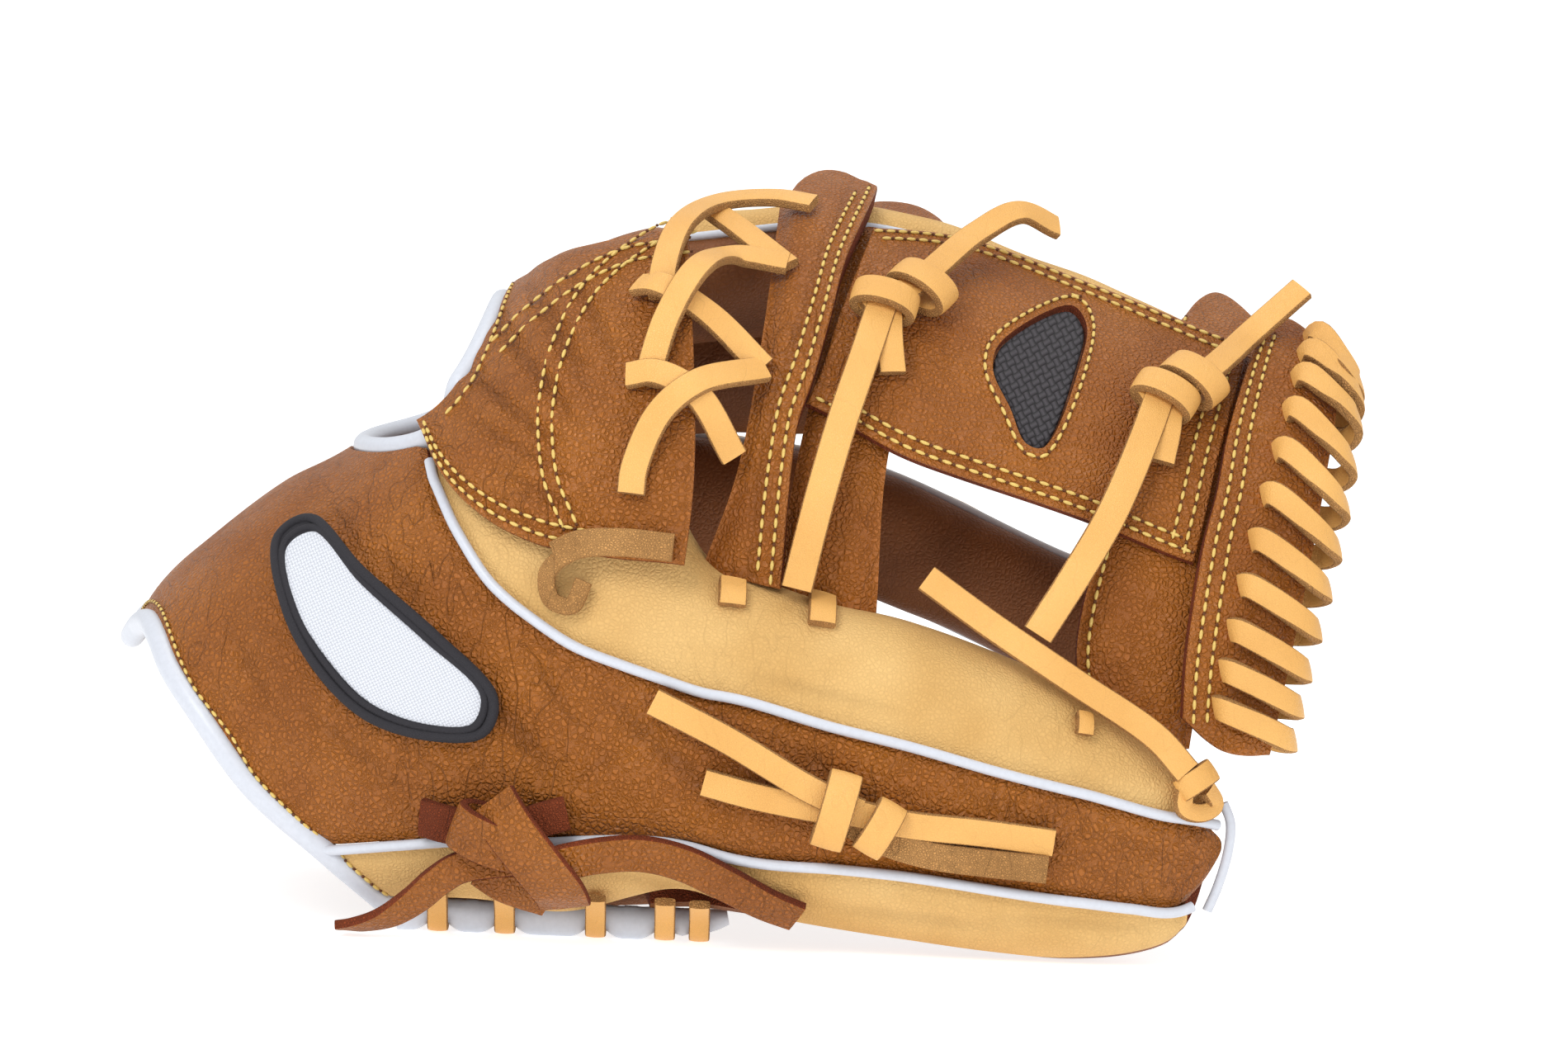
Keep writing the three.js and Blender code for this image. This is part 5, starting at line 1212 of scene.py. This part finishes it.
front, behind = 4.4 + OVER + 0.5, 4.4 - 6.8 - OVER - 0.6
middle = (front + behind) / 2
for i in range(TURNS):
    hole, rim_at = along_places(TURN_HOLE, i / (TURNS - 1)), along_places(TURN_EDGE, i / (TURNS - 1))
    after = along_places(TURN_HOLE, min(1, (i + 1) / (TURNS - 1)))
    turn_place(hole[0], hole[1], middle, -0.5 * math.pi)
    turn_place(hole[0] + 1.4, hole[1] - 0.7, front + 0.3, -0.2 * math.pi)
    turn_place(hole[0] + (rim_at[0] - hole[0]) * 0.55, hole[1] + (rim_at[1] - hole[1]) * 0.55, front, 0)
    turn_place(rim_at[0] - 1.5, rim_at[1] + 0.3, front - 0.9, 0.22 * math.pi)
    turn_place(rim_at[0] + 1, rim_at[1] - 0.6, middle, 0.5 * math.pi)
    turn_place(rim_at[0] - 1.5, rim_at[1] - 0.8, behind + 0.9, 0.8 * math.pi)
    turn_place(after[0] + (rim_at[0] - after[0]) * 0.4, after[1] + (rim_at[1] - after[1]) * 0.45, behind,
               math.pi)
    if i < TURNS - 1:
        turn_place(after[0] + 1.2, after[1] + 0.4, behind + 0.4, 1.25 * math.pi)
lace_piece("web_tip_lacing", [thong(curve(knots, TURNS * 44), curve(faces, TURNS * 44), 5.8)])


def knot_ring(surface, place, lift, heading, across, high, width):
    """A turn of lace round a knot, square to the way that the tail leaves it."""
    x, z = place
    angle = float(surface.angle(x, z))
    normal = normal_at(surface, np.array(float(x)), angle)
    ahead = (x + math.cos(heading), z + math.sin(heading))
    axis = surface.point(ahead[0], float(surface.angle(*ahead))) - surface.point(x, angle)
    side = np.cross(axis / np.linalg.norm(axis), normal)
    side /= np.linalg.norm(side)
    a = np.linspace(0, 2 * math.pi, 48, endpoint=False)[:, None]
    centre = surface.point(x, angle) + normal * lift
    route = centre + side * across * np.cos(a) + normal * high * np.sin(a)
    return thong(route, side * np.cos(a) + normal * np.sin(a), width, LACE_THICK, closed=True)


TAIL_WIDTH = 7.2
lace_piece("web_knot_left", [
    knot_ring(web_shell, (38.8, 148.6), 5.4, 0.72, 7, 3.6, 7.8),
    knot_ring(web_shell, (30.4, 145.6), 5.4, -1.85, 6.8, 3.4, 7.4),
    lace(web_shell, [(26, 144, 5), (34, 147, 5.6), (40, 151, 6), (53, -14, 165, None), (63, -7, 170, None),
                     (72, -2, 166.5, None)]),
    lace(web_shell, [(30, 145.5, 5.6), (27, 136, 5), (22, 120, 4.2), (18, 104, 4.6), (14, 84.4, 6.1)],
         TAIL_WIDTH),
    lace(web_shell, [(31.5, 144, 4.8), (32, 138, 4.4), (33.3, 132, 2.6)])])
lace_piece("web_knot_right", [
    knot_ring(web_shell, (103.1, 129.7), 5.4, 0.67, 7, 3.6, 7.8),
    knot_ring(web_shell, (96.2, 126.6), 5.4, -2.15, 6.8, 3.4, 7.4),
    lace(web_shell, [(91, 125, 5), (100, 127.5, 5.6), (107, 130.5, 8), (119, -18, 145, None),
                     (130, -13, 155, None)]),
    lace(web_shell, [(95, 127, 5.6), (91.4, 118, 5), (84.4, 102, 4.4), (77, 89, 4), (69, 75.8, 4)],
         TAIL_WIDTH),
    lace(web_shell, [(97.5, 127, 4.8), (97, 120, 4.4), (96, 114, 2.6)])])


def free_lace(places, facing, width=LACE_WIDTH, last=None, tones=(0, 1)):
    """A lace through places in the air, which may turn from one way to another."""
    route = curve(places, 90)
    turn = np.linspace(0, 1, 90)[:, None]
    way = np.array(facing, float) * (1 - turn) + np.array(facing if last is None else last, float) * turn
    return thong(route, way, width, tones=tones)


lace_piece("web_corner_lace", [
    knot_ring(thumb_shell, (104.5, 42.5), 5, 2.2, 4.2, 3, 5.6),
    lace(thumb_shell, [(102.5, 41.5, 4.2), (103, 37.6, 2.8), (107, 36.4, 2.5), (109.8, 38, 2.8),
                       (107, 41, 4.6)], 4.4),
    free_lace([(104.5, -74, 46.5), (97.1, -72, 54), (77.7, -70.5, 66), (58.3, -70, 78), (43.2, -68, 88)],
              [0, -1, 0.25])])
lace_piece("thumb_top_lace", [
    lace(thumb_shell, [(-34.5, 84.5, 3), (-37, 79, 2.4), (-41.5, 80, 2.2), (-42.5, 85.5, 3.8),
                       (-38.5, 89.8, 6.5)], 4),
    lace(hand_shell, [(-40.5, 89.4, 6.3), (-35.6, 92, 6.4), (-26, 93, 6.4), (-14.6, 92.4, 6.4)])],
    materials=[LACE_EDGE, LACE_EDGE])
lace_piece("thumb_lace", [
    lace(thumb_shell, [(-5.6, 40.8, OVER), (6, 38.2, 1.9), (17, 36.6, 3), (27, 35.4, 4)]),
    lace(thumb_shell, [(-17.7, 58.6, 3), (-0.9, 50.9, 3.6), (18.5, 40.6, 4.6), (30, 36, 5)]),
    knot_ring(thumb_shell, (24.6, 36.2), 5, 2.9, 8, 3.4, 7.6),
    knot_ring(thumb_shell, (34.6, 32.6), 5, -0.5, 5.6, 3.2, 7),
    lace(thumb_shell, [(28, 36, 5), (40, 33.4, 3.4), (58.1, 31.7, 1.9), (74.3, 29.8, OVER)]),
    lace(thumb_shell, [(27, 34, 4.4), (35, 29.8, 3.6), (46, 26.6, 2.8), (60.2, 25, 2.6), (73, 24, 2.6)],
         tones=(1, 1))])
for i, x in enumerate(HEEL_LACES):
    front_y = float(thumb_shell.point(x, float(thumb_shell.angle(x, 11.5)))[1]) - 3.5
    places = [(x, front_y, 11.2), (x, -61.6, 6.2), (x, -58.4, 2.2), (x, -55, 1.15), (x, -51.6, 2.4),
              (x, -50.2, 5.6)]
    faces = [(0, -1, 0.1), (0, -1, -0.2), (0, -0.7, -0.7), (0, 0, -1), (0, 0.7, -0.7), (0, 1, -0.1)]
    lace_piece(f"heel_lace_{i + 1}", [thong(curve(places, 40), curve(faces, 40), 4.8, 1.8)])

# Broad tie.
# A broad strip of the brown leather is knotted near the heel. Its inner side is rust suede: a flap
# comes out of each slot, the wrap lies over the knot's loop, and two tails leave it.
TIE_WIDTH, TIE_FOLD = 12, 9
lace_piece("wrist_tie", [
    lace(thumb_shell, [(-69.3, 29.4, OVER + 0.3), (-65, 29, 3.4), (-57, 28.6, 5.2)], TIE_FOLD,
         tones=(1, 1)),
    knot_ring(thumb_shell, (-52.5, 28.2), 6.8, 1.25, 8.4, 4.2, TIE_WIDTH - 1),
    lace(thumb_shell, [(-52.2, 35.8, 8.2), (-48.1, 31.6, 11.4), (-42.2, 25.3, 11.4), (-37.6, 18.8, 9.2),
                       (-36.6, 13.8, 5.6)], TIE_WIDTH),
    lace(thumb_shell, [(-55.2, 19.7, 4.5), (-49.5, 17, 5.6), (-40, 14, 5.4)], TIE_FOLD),
    lace(thumb_shell, [(-47, 29.6, 5.4), (-41.5, 31.4, 4), (-36.4, 32.6, OVER + 0.9)], TIE_FOLD - 1,
         tones=(1, 1)),
    lace(thumb_shell, [(-42.5, 22.6, 9.4), (-36, 24.4, 8), (-28.1, 25, 5.4), (-18.7, 25, 4),
                       (-9.2, 23, 3.6),
                       (0.4, 18.8, 3.4), (9.9, 14.3, 3.2), (17.2, 11.5, 2.8)], TIE_FOLD),
    free_lace([(-47, -79.5, 21), (-59.9, -78.5, 18.6), (-65.4, -76, 14.9), (-70.8, -72.5, 9.6),
               (-77.2, -69.5, 5),
               (-83.8, -68, 2.8), (-88.1, -67, 2.3)], [0, -1, 0.1], TIE_WIDTH - 4.6, [0, -0.15, -1])],
    materials=[BROWN, RUST])

# Gold stitching.
# Double rows follow the cut edges of the crotch panel, the posts and the web panel.
# The thread is thick and waxed, and every stitch lies a little proud between its needle holes.
INNER_SEAM = [(-14.3, 161.5), (-20.8, 159.6), (-30.5, 153.2), (-37.2, 145.9), (-41.6, 137), (-43.8, 129.9),
              (-45, 122.1), (-45.1, 115.6), (-43.6, 105.4), (-39.6, 96.5)]
OUTER_SEAM = [(-57.5, 135.5), (-51.5, 142), (-40.2, 151.4), (-29, 157.2), (-16, 160)]


def over_hand(places, aside, lift, count=90):
    """A line over the crotch panel through places of the side view."""
    line = curve([(x, 0, z) for x, z in shifted(places, aside)], count)
    angle = hand_shell.angle(line[:, 0], line[:, 2])
    return hand_shell.point(line[:, 0], angle) + normal_at(hand_shell, line[:, 0], angle)[:] * lift


raised = LEATHER + 2.5 + 0.25
line = rim_line(5.4, np.radians(np.linspace(-86, -14, 60)))
angle = hand_shell.angle(line[:, 0], line[:, 2])
rim_row = line + normal_at(hand_shell, line[:, 0], angle) * raised
sewn = stitch("crotch_stitching", [
    crotch.row("low", 2.2, start=14, stop=26), crotch.row("low", 5.2, start=14, stop=26), rim_row,
    over_hand(INNER_SEAM, 0, raised), over_hand(INNER_SEAM, 3, raised),
    over_hand(OUTER_SEAM, -2.8, raised), over_hand(OUTER_SEAM, -5.6, raised)])
sewn = stitch("web_stitching", [
    cross.row("low", 2.6), cross.row("low", 6.0), cross.row("high", 1.7), cross.row("high", 4.4),
    cross.row("right", 3.0), cross.row("right", 6.4), base_post.row("right", 2.4),
    base_post.row("right", 5.6), tip_post.row("left", 2.6), tip_post.row("left", 6.0),
                                tip_strip.row("left", 2.6)])
ring = curve([(x, 0, z) for x, z in grown(WINDOW, 1.9)], 120, closed=True)
ring = np.concatenate([ring, ring[:1]])
angle = web_shell.angle(ring[:, 0], ring[:, 2])
sewn = stitch("window_stitching", [web_shell.point(ring[:, 0], angle)
                                   + normal_at(web_shell, ring[:, 0], angle) * 0.25])

# Floor, light and camera.
# A plain pale floor, three softboxes, and a camera at the angle of the photograph.
floor_mesh = bpy.data.meshes.new("floor")
floor_mesh.from_pydata([(-20, -4, 0), (20, -4, 0), (20, 90, 0), (-20, 90, 0)], [], [(0, 1, 2, 3)])
floor = bpy.data.objects.new("floor", floor_mesh)
bpy.context.scene.collection.objects.link(floor)
pale = bpy.data.materials.new("pale_floor")
pale.use_nodes = True
pale.node_tree.nodes["Principled BSDF"].inputs["Base Color"].default_value = (0.65, 0.65, 0.65, 1)
pale.node_tree.nodes["Principled BSDF"].inputs["Roughness"].default_value = 0.9
pale.node_tree.nodes["Principled BSDF"].inputs["Emission Color"].default_value = (1, 1, 1, 1)
pale.node_tree.nodes["Principled BSDF"].inputs["Emission Strength"].default_value = 0.75
floor_mesh.materials.append(pale)

world = bpy.data.worlds.new("studio")
bpy.context.scene.world = world
world.use_nodes = True
world.node_tree.nodes["Background"].inputs["Color"].default_value = (1, 1, 1, 1)
world.node_tree.nodes["Background"].inputs["Strength"].default_value = 0.75


def softbox(name, place, target, size, watts):
    light = bpy.data.lights.new(name, "AREA")
    light.shape, light.size, light.energy = "SQUARE", size, watts
    lamp = bpy.data.objects.new(name, light)
    bpy.context.scene.collection.objects.link(lamp)
    lamp.location = place
    lamp.rotation_euler = (Vector(target) - Vector(place)).to_track_quat("-Z", "Y").to_euler()


softbox("key", (-0.35, -0.75, 0.75), (0, 0, 0.08), 0.45, 4.6)
softbox("fill", (0.7, -0.7, 0.35), (0, 0, 0.08), 0.6, 1.2)
softbox("top", (0.0, 0.1, 1.0), (0, 0, 0.05), 0.6, 2.4)

ELEVATION, ROLL = math.radians(5), math.radians(2.38)
ce, se, cr, sr = math.cos(ELEVATION), math.sin(ELEVATION), math.cos(ROLL), math.sin(ROLL)
right, up, ahead = (cr, se * sr, ce * sr), (-sr, se * cr, ce * cr), (0, ce, -se)
place = (np.array([10.154, -1554.292, 229.440]) + SHIFT) / 1000
camera_data = bpy.data.cameras.new("camera")
camera_data.lens, camera_data.sensor_width = 150, 36
camera = bpy.data.objects.new("camera", camera_data)
bpy.context.scene.collection.objects.link(camera)
camera.matrix_world = Matrix([[right[i], up[i], -ahead[i], place[i]] for i in range(3)] + [[0, 0, 0, 1]])
bpy.context.scene.camera = camera
bpy.context.scene.view_settings.view_transform = "Standard"
